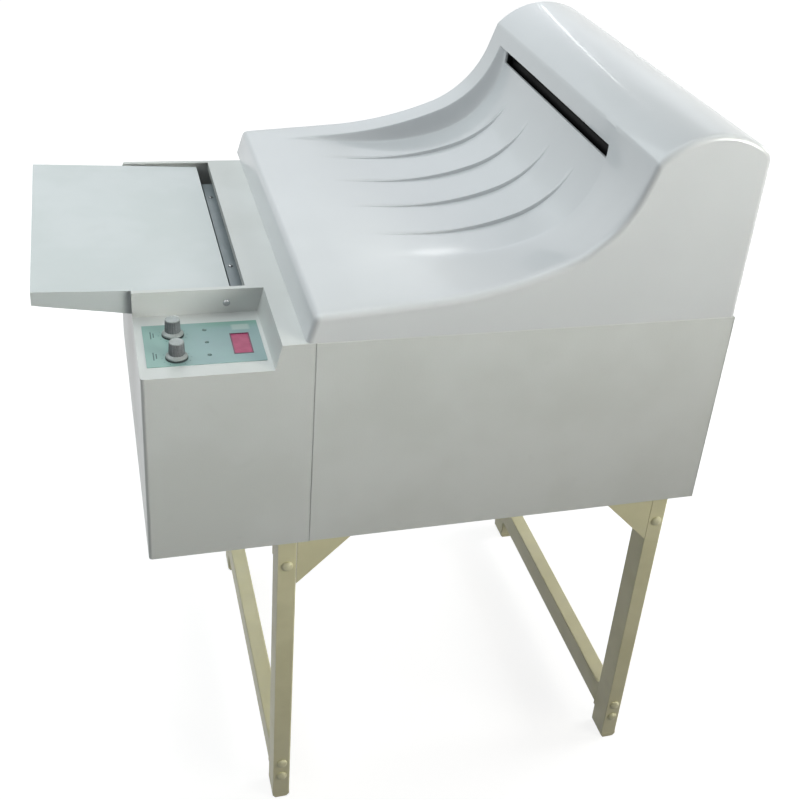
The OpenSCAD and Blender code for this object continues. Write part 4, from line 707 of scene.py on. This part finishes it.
def cover_stations():
    """Places along the cover's upper edge past the step: point, inward normal and share along the tray."""
    sweep_top = HOOD_MIDDLE + polar(HOOD_RADIUS, HOOD_START)
    rise_foot = sweep_top - polar(RISE_LENGTH, RISE)
    sweep_middle = rise_foot + polar(SWEEP_RADIUS, RISE + 90)
    sweep_foot = sweep_middle + polar(SWEEP_RADIUS, MID - 90)
    long_middle = sweep_foot + polar(LONG_RADIUS, MID + 90)
    long_foot = long_middle + polar(LONG_RADIUS, LOW - 90)
    flat_z = STEP_TOP[1] + (long_foot[1] - STEP_TOP[1]) * (TRAY_START - STEP_TOP[0]) / (long_foot[0] - STEP_TOP[0])
    tray_start = np.array([TRAY_START, flat_z])
    high = HOOD_MIDDLE + polar(HOOD_RADIUS, HOOD_STOP)
    knee, low = np.array([COVER_END, high[1] - 7]), np.array([COVER_END, high[1] - 22])

    def line(a, b, n):
        return [a + (b - a) * k / n for k in range(n)]

    def arc(middle, radius, a, b, n):
        return [middle + polar(radius, a + (b - a) * k / n) for k in range(n)]

    tray = (line(tray_start, long_foot, 60) + arc(long_middle, LONG_RADIUS, LOW - 90, MID - 90, 300)
            + arc(sweep_middle, SWEEP_RADIUS, MID - 90, RISE - 90, 300) + line(rise_foot, sweep_top, 80))
    hood = arc(HOOD_MIDDLE, HOOD_RADIUS, HOOD_START, HOOD_STOP, 44)
    hood += curved(high, knee, low, np.linspace(0, 1, 12)[:-1]) + [low, np.array([COVER_END, COVER_FOOT])]
    hood = np.array(hood)
    dense = np.array(tray + [sweep_top])
    steps = np.linalg.norm(np.diff(dense, axis=0), axis=1)
    share = np.concatenate([[0], np.cumsum(steps)]) / steps.sum()
    ways = np.gradient(dense, axis=0)
    ways /= np.linalg.norm(ways, axis=1)[:, None]
    inward = np.stack([ways[:, 1], -ways[:, 0]], axis=1)

    # The slot's edges get a row each, at the heights they have once the tray is sunk, and so do the lip's foot and edge
    sunk = dense[:, 1] + inward[:, 1] * TRAY_DEPTH * np.sin(np.pi * share ** 1.5)
    lowest = int(sunk.argmin())
    slot = [float(np.interp(z, sunk[lowest:], share[lowest:])) for z in SLOT[2:]]
    foot = 1 - RISE_LENGTH / steps.sum()
    lip = [foot + (LIP_UP + d) / steps.sum() for d in (0, LIP_STEP, LIP_STEP + COVER_WALL + 1.2)]
    even = [s for s in np.linspace(0, 1, TRAY_ROWS)[:-1]
            if min(abs(s - f) for f in slot + lip) > 0.003 and not lip[0] < s < lip[2]]
    keep = sorted(even + slot + lip)

    def between(s, values):
        return np.array([np.interp(s, share, values[:, k]) for k in (0, 1)])

    rows = [(between(s, dense), unit(between(s, inward)), s) for s in keep]
    along = np.gradient(hood, axis=0)
    along[0] = hood[1] - hood[0] + 0.35 * (sweep_top - rise_foot) / 10
    for k, p in enumerate(hood):
        normal = np.array([-1.0, 0.0]) if k >= len(hood) - 2 else inside_of(unit(along[k]))
        rows.append((p, normal, 0.0))
    return rows, [keep.index(s) for s in slot], (lip[0] + lip[1]) / 2, flat_z


def step_points(inset, flat_z):
    """The step up to the cover, set in by a distance, with its rounded corner."""
    step_way = unit(STEP_TOP - np.array([STEP_FOOT, STEP_TOP[1] - 35.0]))
    flat_way = unit(np.array([TRAY_START, flat_z]) - STEP_TOP)
    step_in, flat_in = inside_of(step_way), inside_of(flat_way)
    corner = STEP_TOP + inset * (step_in + flat_in) / (1 + step_in @ flat_in)
    reach = max(1.2, 7 - 0.75 * inset)
    bend = curved(corner - reach * step_way, corner, corner + reach * flat_way, np.linspace(0, 1, 7))
    return [np.array([STEP_FOOT + inset / step_in[0], COVER_FOOT])] + bend


def cover_rows():
    """Places across the cover, each with how far its edge is set in: round at both sides, and close at the walls,
    the ribs and the slot's ends."""
    turns = [math.pi / 2 * k / 6 for k in range(7)]
    rounds = [(COVER_ROUND * (1 - math.cos(a)), COVER_ROUND * (1 - math.sin(a))) for a in turns]
    wall_foot = TRAY_BACK - WALL_RUN
    across = set(np.linspace(TRAY_EDGE, TRAY_FRONT, FRONT_ROWS)) | set(np.linspace(TRAY_FRONT, wall_foot, FLOOR_ROWS))
    across |= set(np.linspace(wall_foot, TRAY_BACK + 1, WALL_ROWS)) | {SLOT[0], SLOT[1], LAST_ROW}
    for k in range(RIB_COUNT):
        middle = RIB_FIRST + k * RIB_PITCH
        across = {y for y in across if not -6 < y - middle < 12 or y in SLOT}
        across |= {middle + d for d in RIB_ROWS}
    across = sorted(y for y in across if y in SLOT or not any(0 < abs(y - s) < 0.35 for s in SLOT))
    return (rounds + [(y, 0.0) for y in across if COVER_ROUND < y < COVER_BACK - COVER_ROUND]
            + [(COVER_BACK - y, inset) for y, inset in reversed(rounds)])


def make_cover():
    """One moulding: the flat form as a grid of rings, sunk and ribbed by the tray's rule, then given its wall."""
    rows, slot_edges, lip_share, flat_z = cover_stations()
    places = cover_rows()
    points, shares, inwards = [], [], []
    for y, inset in places:
        for p in step_points(inset, flat_z):
            points.append(at(p[0], y, p[1]))
            shares.append(0.0)
            inwards.append((0, 0, 0))
        for p, normal, share in rows:
            q = p + inset * normal
            points.append(at(q[0], y, max(q[1], COVER_FOOT)))
            shares.append(share)
            inwards.append((normal[0], 0, normal[1]))
    ring = len(points) // len(places)
    slot_rows = [ring - len(rows) + edge for edge in slot_edges]
    slot_columns = [next(k for k, (y, _) in enumerate(places) if y == s) for s in SLOT[:2]]
    faces = []
    for j in range(len(places) - 1):
        for i in range(ring - 1):
            if slot_rows[0] <= i < slot_rows[1] and slot_columns[0] <= j < slot_columns[1]:
                continue
            a = j * ring + i
            faces.append((a, a + 1, a + ring + 1, a + ring))
    faces.append(tuple(range(ring - 1, -1, -1)))
    faces.append(tuple(range(len(points) - ring, len(points))))
    mesh = mesh_from("cover_shell", points, faces)
    mesh.attributes.new("tray_share", "FLOAT", "POINT").data.foreach_set("value", shares)
    mesh.attributes.new("inward", "FLOAT_VECTOR", "POINT").data.foreach_set("vector", np.array(inwards).ravel())
    piece = grown(new_object("cover_shell", mesh), receiving_tray, "cover_gloss", {
        "Tray depth": TRAY_DEPTH * MM, "Front edge": TRAY_EDGE * MM, "Front slope end": TRAY_FRONT * MM,
        "Back edge": TRAY_BACK * MM, "Back wall run": WALL_RUN * MM, "Edge round": 0.3, "Lip share": lip_share,
        "Lip start": SLOT[0] * MM, "Rib count": RIB_COUNT, "First rib": RIB_FIRST * MM, "Rib pitch": RIB_PITCH * MM,
        "Rib height": 0.005, "Rib front half": 0.002, "Rib back half": 0.008, "Rib from": 0.06, "Rib to": 0.81})
    modified(piece, "SOLIDIFY", thickness=COVER_WALL * MM, offset=-1, use_even_offset=True)
    modified(piece, "BEVEL", limit_method="ANGLE", angle_limit=math.radians(60), width=0.0007, segments=2)
    dressed(evened(piece, 40), None, "cover", ["top_cover"])


# ---- Screws and bolts ----

LEG_LEFT, LEG_RIGHT, TUBE_W, TUBE_D = 161.0, 698.0, 25.0, 40.0
LEG_FRONT, LEG_BACK = 9.0, 531.0
BOLT_HEIGHTS = (47.0, 73.0, 450.0, 520.0)
REAR_FACE = 617.5
# Outlines of radius and height
DOME = [(7.5 * math.sin(a) / math.sin(1.25), 1.4 + 3.5 * (math.cos(a) - math.cos(1.25)) / (1 - math.cos(1.25)))
        for a in np.linspace(0, 1.25, 9)]
BOLT = DOME + [(7.5, 0.3), (7.2, 0), (3, 0), (3, -50), (2.6, -51), (0, -51)]
SCREW = [(0, -0.15), (3.6, -0.15), (3.85, -0.3), (3.8, -0.6), (2, -1.6), (2, -8.6), (1.4, -9), (0, -9)]
PAN_SCREW = [(0, 1.8), (1.2, 1.75), (2.2, 1.5), (2.8, 1.05), (3, 0.5), (2.95, 0), (1.5, 0), (1.5, -8.8), (1.1, -9.2),
             (0, -9.2)]
PIVOT_HEAD = [(0, 2.4), (2, 2.3), (3.6, 1.9), (4.3, 1.3), (4.5, 0.6), (4.4, 0), (2.5, 0), (2.5, -1.8), (4.5, -1.8)]


def set_on_points(tree, points, fastener, turn, seed):
    """Sets a small piece on every point, facing the way that the point says, each turned by chance."""
    facing = stored(tree, "facing", "FLOAT_VECTOR")
    upright = wire(tree, "FunctionNodeAlignRotationToVector", {"Vector": facing}, axis="Z")
    chance = wire(tree, "FunctionNodeRandomValue", {"Seed": seed}, data_type="FLOAT")
    angle = sums(tree, "MULTIPLY", chance.outputs[1], turn)
    spin = wire(tree, "FunctionNodeAxisAngleToRotation", {"Axis": (0, 0, 1), "Angle": angle})
    both = wire(tree, "FunctionNodeRotateRotation", (upright, spin), rotation_space="LOCAL")
    return instances(tree, points, own_shape(tree, fastener), both)


def set_fasteners(name, outline, sides, recess, spots, finish, node, seed, sharp=40):
    """Copies of one turned fastener at bench points, each facing its own way, standing for a CAD node. recess gives
    the cross in its head: its reach, width, depth and top, in millimetres."""
    shape = new_object("fastener", turned(outline, sides))
    if recess:
        across, width, depth, top = recess
        for a, b in ((width / 2, across / 2), (across / 2, width / 2)):
            carve(shape, (-a * MM, -b * MM, (top - depth) * MM), (a * MM, b * MM, (top + 5) * MM))
    evened(shape, sharp)
    mesh = mesh_from(name, [at(*place) for place, _ in spots], [])
    ways = np.array([way for _, way in spots], float).ravel()
    mesh.attributes.new("facing", "FLOAT_VECTOR", "POINT").data.foreach_set("vector", ways)
    values = {"Fastener": shape, "Turn": 2 * math.pi, "Seed": seed}
    piece = grown(new_object(name, mesh), set_on_points, finish, values)
    bpy.data.objects.remove(shape)
    dressed(piece, None, node_body[node], [node])


def make_fasteners():
    spots = [((x + TUBE_W / 2, y, z), (0, way, 0)) for x in (LEG_LEFT, LEG_RIGHT) for z in BOLT_HEIGHTS
             for y, way in ((LEG_FRONT, -1), (LEG_BACK + TUBE_D, 1))]
    # The bolt heads' paint is a little lighter than the legs': painted light on the domes.
    set_fasteners("stand_bolt_heads", BOLT, 40, None, spots, "bolt_paint", "stand_bolts", 3, 50)
    end = [((COVER_END, y, z), (1, 0, 0)) for y in (5.0, 612.5) for z in (555.0, 642.5, 750.0)]
    back = [((x, REAR_FACE, z), (0, 1, 0)) for x in (309.5, 476.5, 745.5) for z in (505.0, 780.0)]
    set_fasteners("panel_screw_heads", SCREW, 32, (4.4, 0.8, 0.8, -0.15), end + back, "steel", "panel_screws", 5)
    strip = [((134.0, y, 762.2), (0, 0, 1)) for y in (267.0, 500.0)]
    set_fasteners("guide_strip_screws", PAN_SCREW, 32, (3.4, 0.7, 0.9, 1.8), strip, "steel", "guide_screws", 7)
    for side, y, way, gap, reach, seed in (("front", 148.0, -1, 8.7, 11.5, 8), ("rear", 580.0, 1, 12.7, 15.5, 9)):
        outline = PIVOT_HEAD + [(4.5, -gap), (2.5, -gap), (2.5, -reach), (0, -reach)]
        set_fasteners("tray_pivot_" + side, outline, 40, (5.2, 1.0, 1.2, 2.4), [((114.0, y, 771.0), (0, way, 0))],
                      "steel", "tray_pivots", seed)


# ---- The control ledge ----

LEDGE = 757.0
FASCIA_TOP = LEDGE + 0.8
KNOB_X, KNOB_YS = 44.0, (43.0, 97.0)
KNOB_FOOT = LEDGE + 2.8
KNOB_SIDES = 72
POINTS_PER_FLUTE = 12.0
SKIRT = [(0, 4.2), (9.4, 4.2), (9.9, 4.0), (12.2, 2.0), (12.54, 1.5), (12.5, 0.3), (12.2, 0), (5.2, 0), (5.2, 0.9),
         (0, 0.9)]
CAP = [(0, 19.55), (5, 19.6), (7.4, 19.85), (8.0, 20), (8.35, 19.8), (8.4, 19.4), (8.4, 18.7), (0, 18.7)]
# A dark washer under each knob, its darkness a painted shadow round the knob's foot
SEAT = [(4.8, 1.9), (12.4, 1.9), (13.0, 1.4), (13.2, 0.0), (4.8, 0.0)]
# Where the membrane's round corners begin, along and across
MEMBRANE_X, MEMBRANE_Y = (12, 144), (28, 120)


def fluted_barrel(tree, _, radius, taper, height, flutes, flute_depth, place):
    """A tapered barrel with flutes round it."""
    stock = wire(tree, "GeometryNodeMeshCylinder", {
        "Vertices": flutes * POINTS_PER_FLUTE, "Side Segments": 6, "Fill Segments": 1, "Radius": radius,
        "Depth": height}, fill_type="NGON")
    spot = tree.nodes.new("GeometryNodeInputPosition").outputs[0]
    x, y, z = split(tree, spot)
    wave = (y.through("ARCTAN2", x) * flutes).through("COSINE")
    notch = ramped(tree, wave, 0.1, 1.0) * flute_depth
    pull = (z / height + 0.5) * taper + notch
    away = vectors(tree, "NORMALIZE", vectors(tree, "MULTIPLY", spot, (1, 1, 0)))
    shift = vectors(tree, "SCALE", away, None, None, pull * -1.0)
    formed = wire(tree, "GeometryNodeSetPosition", {"Geometry": stock, "Offset": shift})
    return wire(tree, "GeometryNodeTransform", {"Geometry": formed, "Translation": place})


def dial_marks(tree, _, count, radius, sweep, bar, place):
    """Short printed bars set round an arc, as on a dial."""
    line = wire(tree, "GeometryNodeMeshLine", {"Count": count, "Offset": (0, 0, 0)})
    order = Value(tree, tree.nodes.new("GeometryNodeInputIndex").outputs[0])
    angle = (order / (count - 1.0) - 0.5) * sweep
    arm = joined(tree, angle.through("SINE") * radius, angle.through("COSINE") * radius, 0.0)
    spot = vectors(tree, "ADD", arm, place)
    placed = wire(tree, "GeometryNodeSetPosition", {"Geometry": line, "Position": spot})
    cube = wire(tree, "GeometryNodeMeshCube", {"Size": bar})
    return instances(tree, placed, cube, joined(tree, 0.0, 0.0, angle * -1.0))


def close_ring(piece, sides):
    """Joins the last ring of a turned shape to its first, for a ring with a hole."""
    last = len(piece.data.vertices) - sides
    bm = opened(piece.data)
    bm.verts.ensure_lookup_table()
    for k in range(sides):
        n = (k + 1) % sides
        bm.faces.new([bm.verts[i] for i in (last + k, k, n, last + n)])
    bmesh.ops.recalc_face_normals(bm, faces=bm.faces)
    closed(bm, piece.data)


def make_knobs():
    for side, y in zip(("front", "rear"), KNOB_YS):
        node, body = "knob_" + side, side + "_knob"
        foot = at(KNOB_X, y, KNOB_FOOT)
        barrel = new_object(node + "_barrel", bpy.data.meshes.new("barrel"))
        grown(barrel, fluted_barrel, "knob_grey", {
            "Radius": 0.0095, "Taper": 0.0007, "Height": 0.0148, "Flutes": 18, "Flute depth": 0.0006,
            "Place": foot + Vector((0, 0, 0.0114))})
        modified(barrel, "BEVEL", limit_method="ANGLE", angle_limit=math.radians(60), width=0.0005, segments=2)
        dressed(evened(barrel, 40), None, body, [node])

        skirt = new_object(node + "_skirt", shifted(turned(SKIRT, KNOB_SIDES), foot))
        cap = new_object(node + "_cap", turned(CAP, KNOB_SIDES))
        carve(cap, (-0.0005, 0.0012, 0.0193), (0.0005, 0.0095, 0.021))
        shifted(cap.data, foot)
        for piece in (skirt, cap):
            dressed(evened(piece, 30), "knob_cap", body, [node])

        # The seat is a dark washer under the skirt; its darkness paints the shadow round the knob's foot.
        place = at(KNOB_X, y, FASCIA_TOP)
        seat = new_object(node + "_seat", shifted(turned(SEAT, KNOB_SIDES), place))
        close_ring(seat, KNOB_SIDES)
        dressed(evened(seat, 30), "knob_ring", "cabinet")

        marks = new_object(f"dial_{side}_marks", bpy.data.meshes.new("marks"))
        grown(marks, dial_marks, "print_dark", {
            "Count": 11, "Radius": 0.0168, "Sweep": math.radians(300), "Bar": (0.0004, 0.0016, 0.0001),
            "Place": at(KNOB_X, y, FASCIA_TOP + 0.03)})
        dressed(marks, None, "cabinet")


def framed(name, low, high, width, z0, z1):
    """A rectangular ring with its corners mitred."""
    points, faces = [], []
    for inset, z in ((0, z0), (0, z1), (width, z1), (width, z0)):
        (x0, y0), (x1, y1) = (low[0] + inset, low[1] + inset), (high[0] - inset, high[1] - inset)
        points += [at(x0, y0, z), at(x1, y0, z), at(x1, y1, z), at(x0, y1, z)]
    for ring in range(4):
        for k in range(4):
            a, b = ring * 4, (ring + 1) % 4 * 4
            faces.append((a + k, a + (k + 1) % 4, b + (k + 1) % 4, b + k))
    return new_object(name, mesh_from(name, points, faces))


def make_fascia():
    def membrane(c):
        inside = MEMBRANE_X[0] <= c.x <= MEMBRANE_X[1] or MEMBRANE_Y[0] <= c.y <= MEMBRANE_Y[1]
        if c.upright and not inside:
            return 2.0
        return 0.25 if c.z > FASCIA_TOP - 0.1 and c.out else 0

    softened("control_fascia", "fascia_membrane", membrane, 4)
    softened("display_window", "display_pane", lambda c: 0.3 if c.z > LEDGE else 0, 2)
    softened("indicator_lenses", "indicator_lens_domes", lambda c: 0, 1)
    rim = framed("window_rim", (110.4, 43.4), (133.6, 92.6), 1.5, FASCIA_TOP - 0.02, FASCIA_TOP + 0.35)
    dressed(evened(rim, 30), "window_rim", "cabinet")

    mesh = bpy.data.meshes.new("printed_bars")
    bars = opened(mesh)
    for y0, y1 in ((40.0, 58.0), (90.0, 107.0)):
        for x, reach in ((17.4, 1.0), (20.6, 0.62)):
            cut = (y1 - y0) * (1 - reach) / 2
            bars.from_mesh(box_mesh(at(x, y0 + cut, FASCIA_TOP - 0.05), at(x + 1.3, y1 - cut, FASCIA_TOP + 0.05)))
    closed(bars, mesh)
    dressed(new_object("printed_bars", mesh), "print_dark", "cabinet")


# ---- The cabinet, the tray and the stand ----

FEED_TOP, LEDGE_BACK, LEDGE_RIGHT = 790.0, 148.0, 152.0
TRAY_LIP, TRAY_RIM, TRAY_SIDES = -114.9, 783, (157.5, 566.5)
# A louvre, in millimetres: how far it passes the slot, its length, reach, height and fall
LOUVRE_PAST, LOUVRE_LONG, LOUVRE_OUT, LOUVRE_HIGH, LOUVRE_FALL = 2.0, 54.0, 2.0, 6.2, 5.0


def louvre_bank(tree, _, louvre, row_count, row_pitch, column_count, column_pitch, place):
    """Rows and columns of one louvre."""
    up, along = joined(tree, 0.0, 0.0, row_pitch), joined(tree, column_pitch, 0.0, 0.0)
    rows = wire(tree, "GeometryNodeMeshLine", {"Count": row_count, "Start Location": place, "Offset": up})
    columns = wire(tree, "GeometryNodeMeshLine", {"Count": column_count, "Offset": along})
    bank = wire(tree, "GeometryNodeRealizeInstances", (instances(tree, columns, rows),))
    return instances(tree, bank, own_shape(tree, louvre))


def make_louvres():
    """Pressed hoods over the cooling slots in the rear panel."""
    points, faces = [], []
    across, sides = 20, 7
    for i in range(across + 1):
        u = i / across
        swell = math.sin(math.pi * u) ** 0.35 if 0 < i < across else 0.0
        for a in (math.pi / 2 * j / sides for j in range(sides + 1)):
            out, up = LOUVRE_OUT * swell * math.sin(a), LOUVRE_HIGH - LOUVRE_FALL * (1 - math.cos(a))
            points.append(((LOUVRE_LONG * u - LOUVRE_PAST) * MM, out * MM, up * MM))
    for i in range(across):
        for j in range(sides):
            a = i * (sides + 1) + j
            faces.append((a, a + 1, a + sides + 2, a + sides + 1))
    louvre = new_object("louvre", mesh_from("louvre", points, faces))
    modified(louvre, "SOLIDIFY", thickness=0.0004, offset=0.0)
    bm = opened(louvre.data)
    bmesh.ops.recalc_face_normals(bm, faces=bm.faces)
    closed(bm, louvre.data)
    evened(louvre, 50)
    bank = grown(new_object("louvre_hoods", bpy.data.meshes.new("louvre_hoods")), louvre_bank, "cabinet_paint", {
        "Louvre": louvre, "Rows": 7, "Row pitch": 0.012, "Columns": 2, "Column pitch": 0.07,
        "Place": at(580.0, REAR_FACE + 0.1, 600.0)})
    bpy.data.objects.remove(louvre)
    dressed(bank, None, "cabinet")


def make_panels():
    def feed_end(c):
        outer = c.z > FEED_TOP - 1 or c.y < 1 or c.x < 1
        wall = abs(c.y - LEDGE_BACK) < 1 or LEDGE_RIGHT - 1 < c.x < LEDGE_RIGHT + 10
        ledge = LEDGE - 2 < c.z < FEED_TOP + 1 and wall
        return 0.0 if not c.out or c.length < 2 else 1.6 if (outer or ledge) and c.length > 20 else 0.3

    def sheet(c):
        edge = c.y < 0.5 or c.y > REAR_FACE - 0.5 or c.x > COVER_END - 0.5
        return 1.1 if c.out and edge and c.length > 40 else 0.25 if c.out and c.length > 4 else 0.0

    def tray(c):
        lip = c.x < TRAY_LIP
        side = c.z > TRAY_RIM and not TRAY_SIDES[0] <= c.y <= TRAY_SIDES[1]
        if not c.out:
            return 0.0
        return 3.0 if lip and c.upright else 1.8 if c.length > 60 and (lip or side) else 0.35

    def thin(radius):
        return lambda c: radius if c.out and c.length > 10 else 0

    softened("feed_end_cover", "feed_end_shell", feed_end)
    for panel in ("front", "right_end", "rear"):
        softened(panel + "_panel", panel + "_skin", sheet)
    softened("feed_tray", "feed_tray_sheet", tray)
    softened("entrance_guide", "guide_strip", thin(0.3), 2, "guide_steel")
    softened("base_pan", "base_sheet", thin(0.4), 2)
    make_louvres()


def make_stand():
    def tube(c):
        return (2.6 if c.out else 1.2) if c.length > 100 else 0.3 if c.length > 8 else 0.0

    legs = ["leg_" + end + side for end in ("front_", "rear_") for side in ("left", "right")]
    for member in legs + ["low_rail_left", "low_rail_right"]:
        softened(member, member + "_tube", tube)
    softened("upper_frame", "upper_frame_tubes", tube)
    softened("gusset_plates", "gusset_sheets", lambda c: 0.08 if c.upright else 0.5, 2)
    softened("foot_plugs", "foot_glides", lambda c: 1.0 if c.z < 9 and c.out else 0.2)


# ---- Run ----

make_camera()
make_world()
make_floor()
for name, settings in LAMPS.items():
    make_lamp(name, *settings)
bpy.context.scene.view_settings.view_transform = "Standard"

effects = make_effects()
finishes = {slot: make_finish(*row, **extras) for slot, (*row, extras) in FINISHES.items()}
finishes["fascia_teal"] = make_fascia_print()
for name, cad in cad_nodes.items():
    cad.data.materials.clear()
    cad.data.materials.append(finishes[node_slot[name]])

make_cover()
make_fasteners()
make_knobs()
make_fascia()
make_panels()
make_stand()
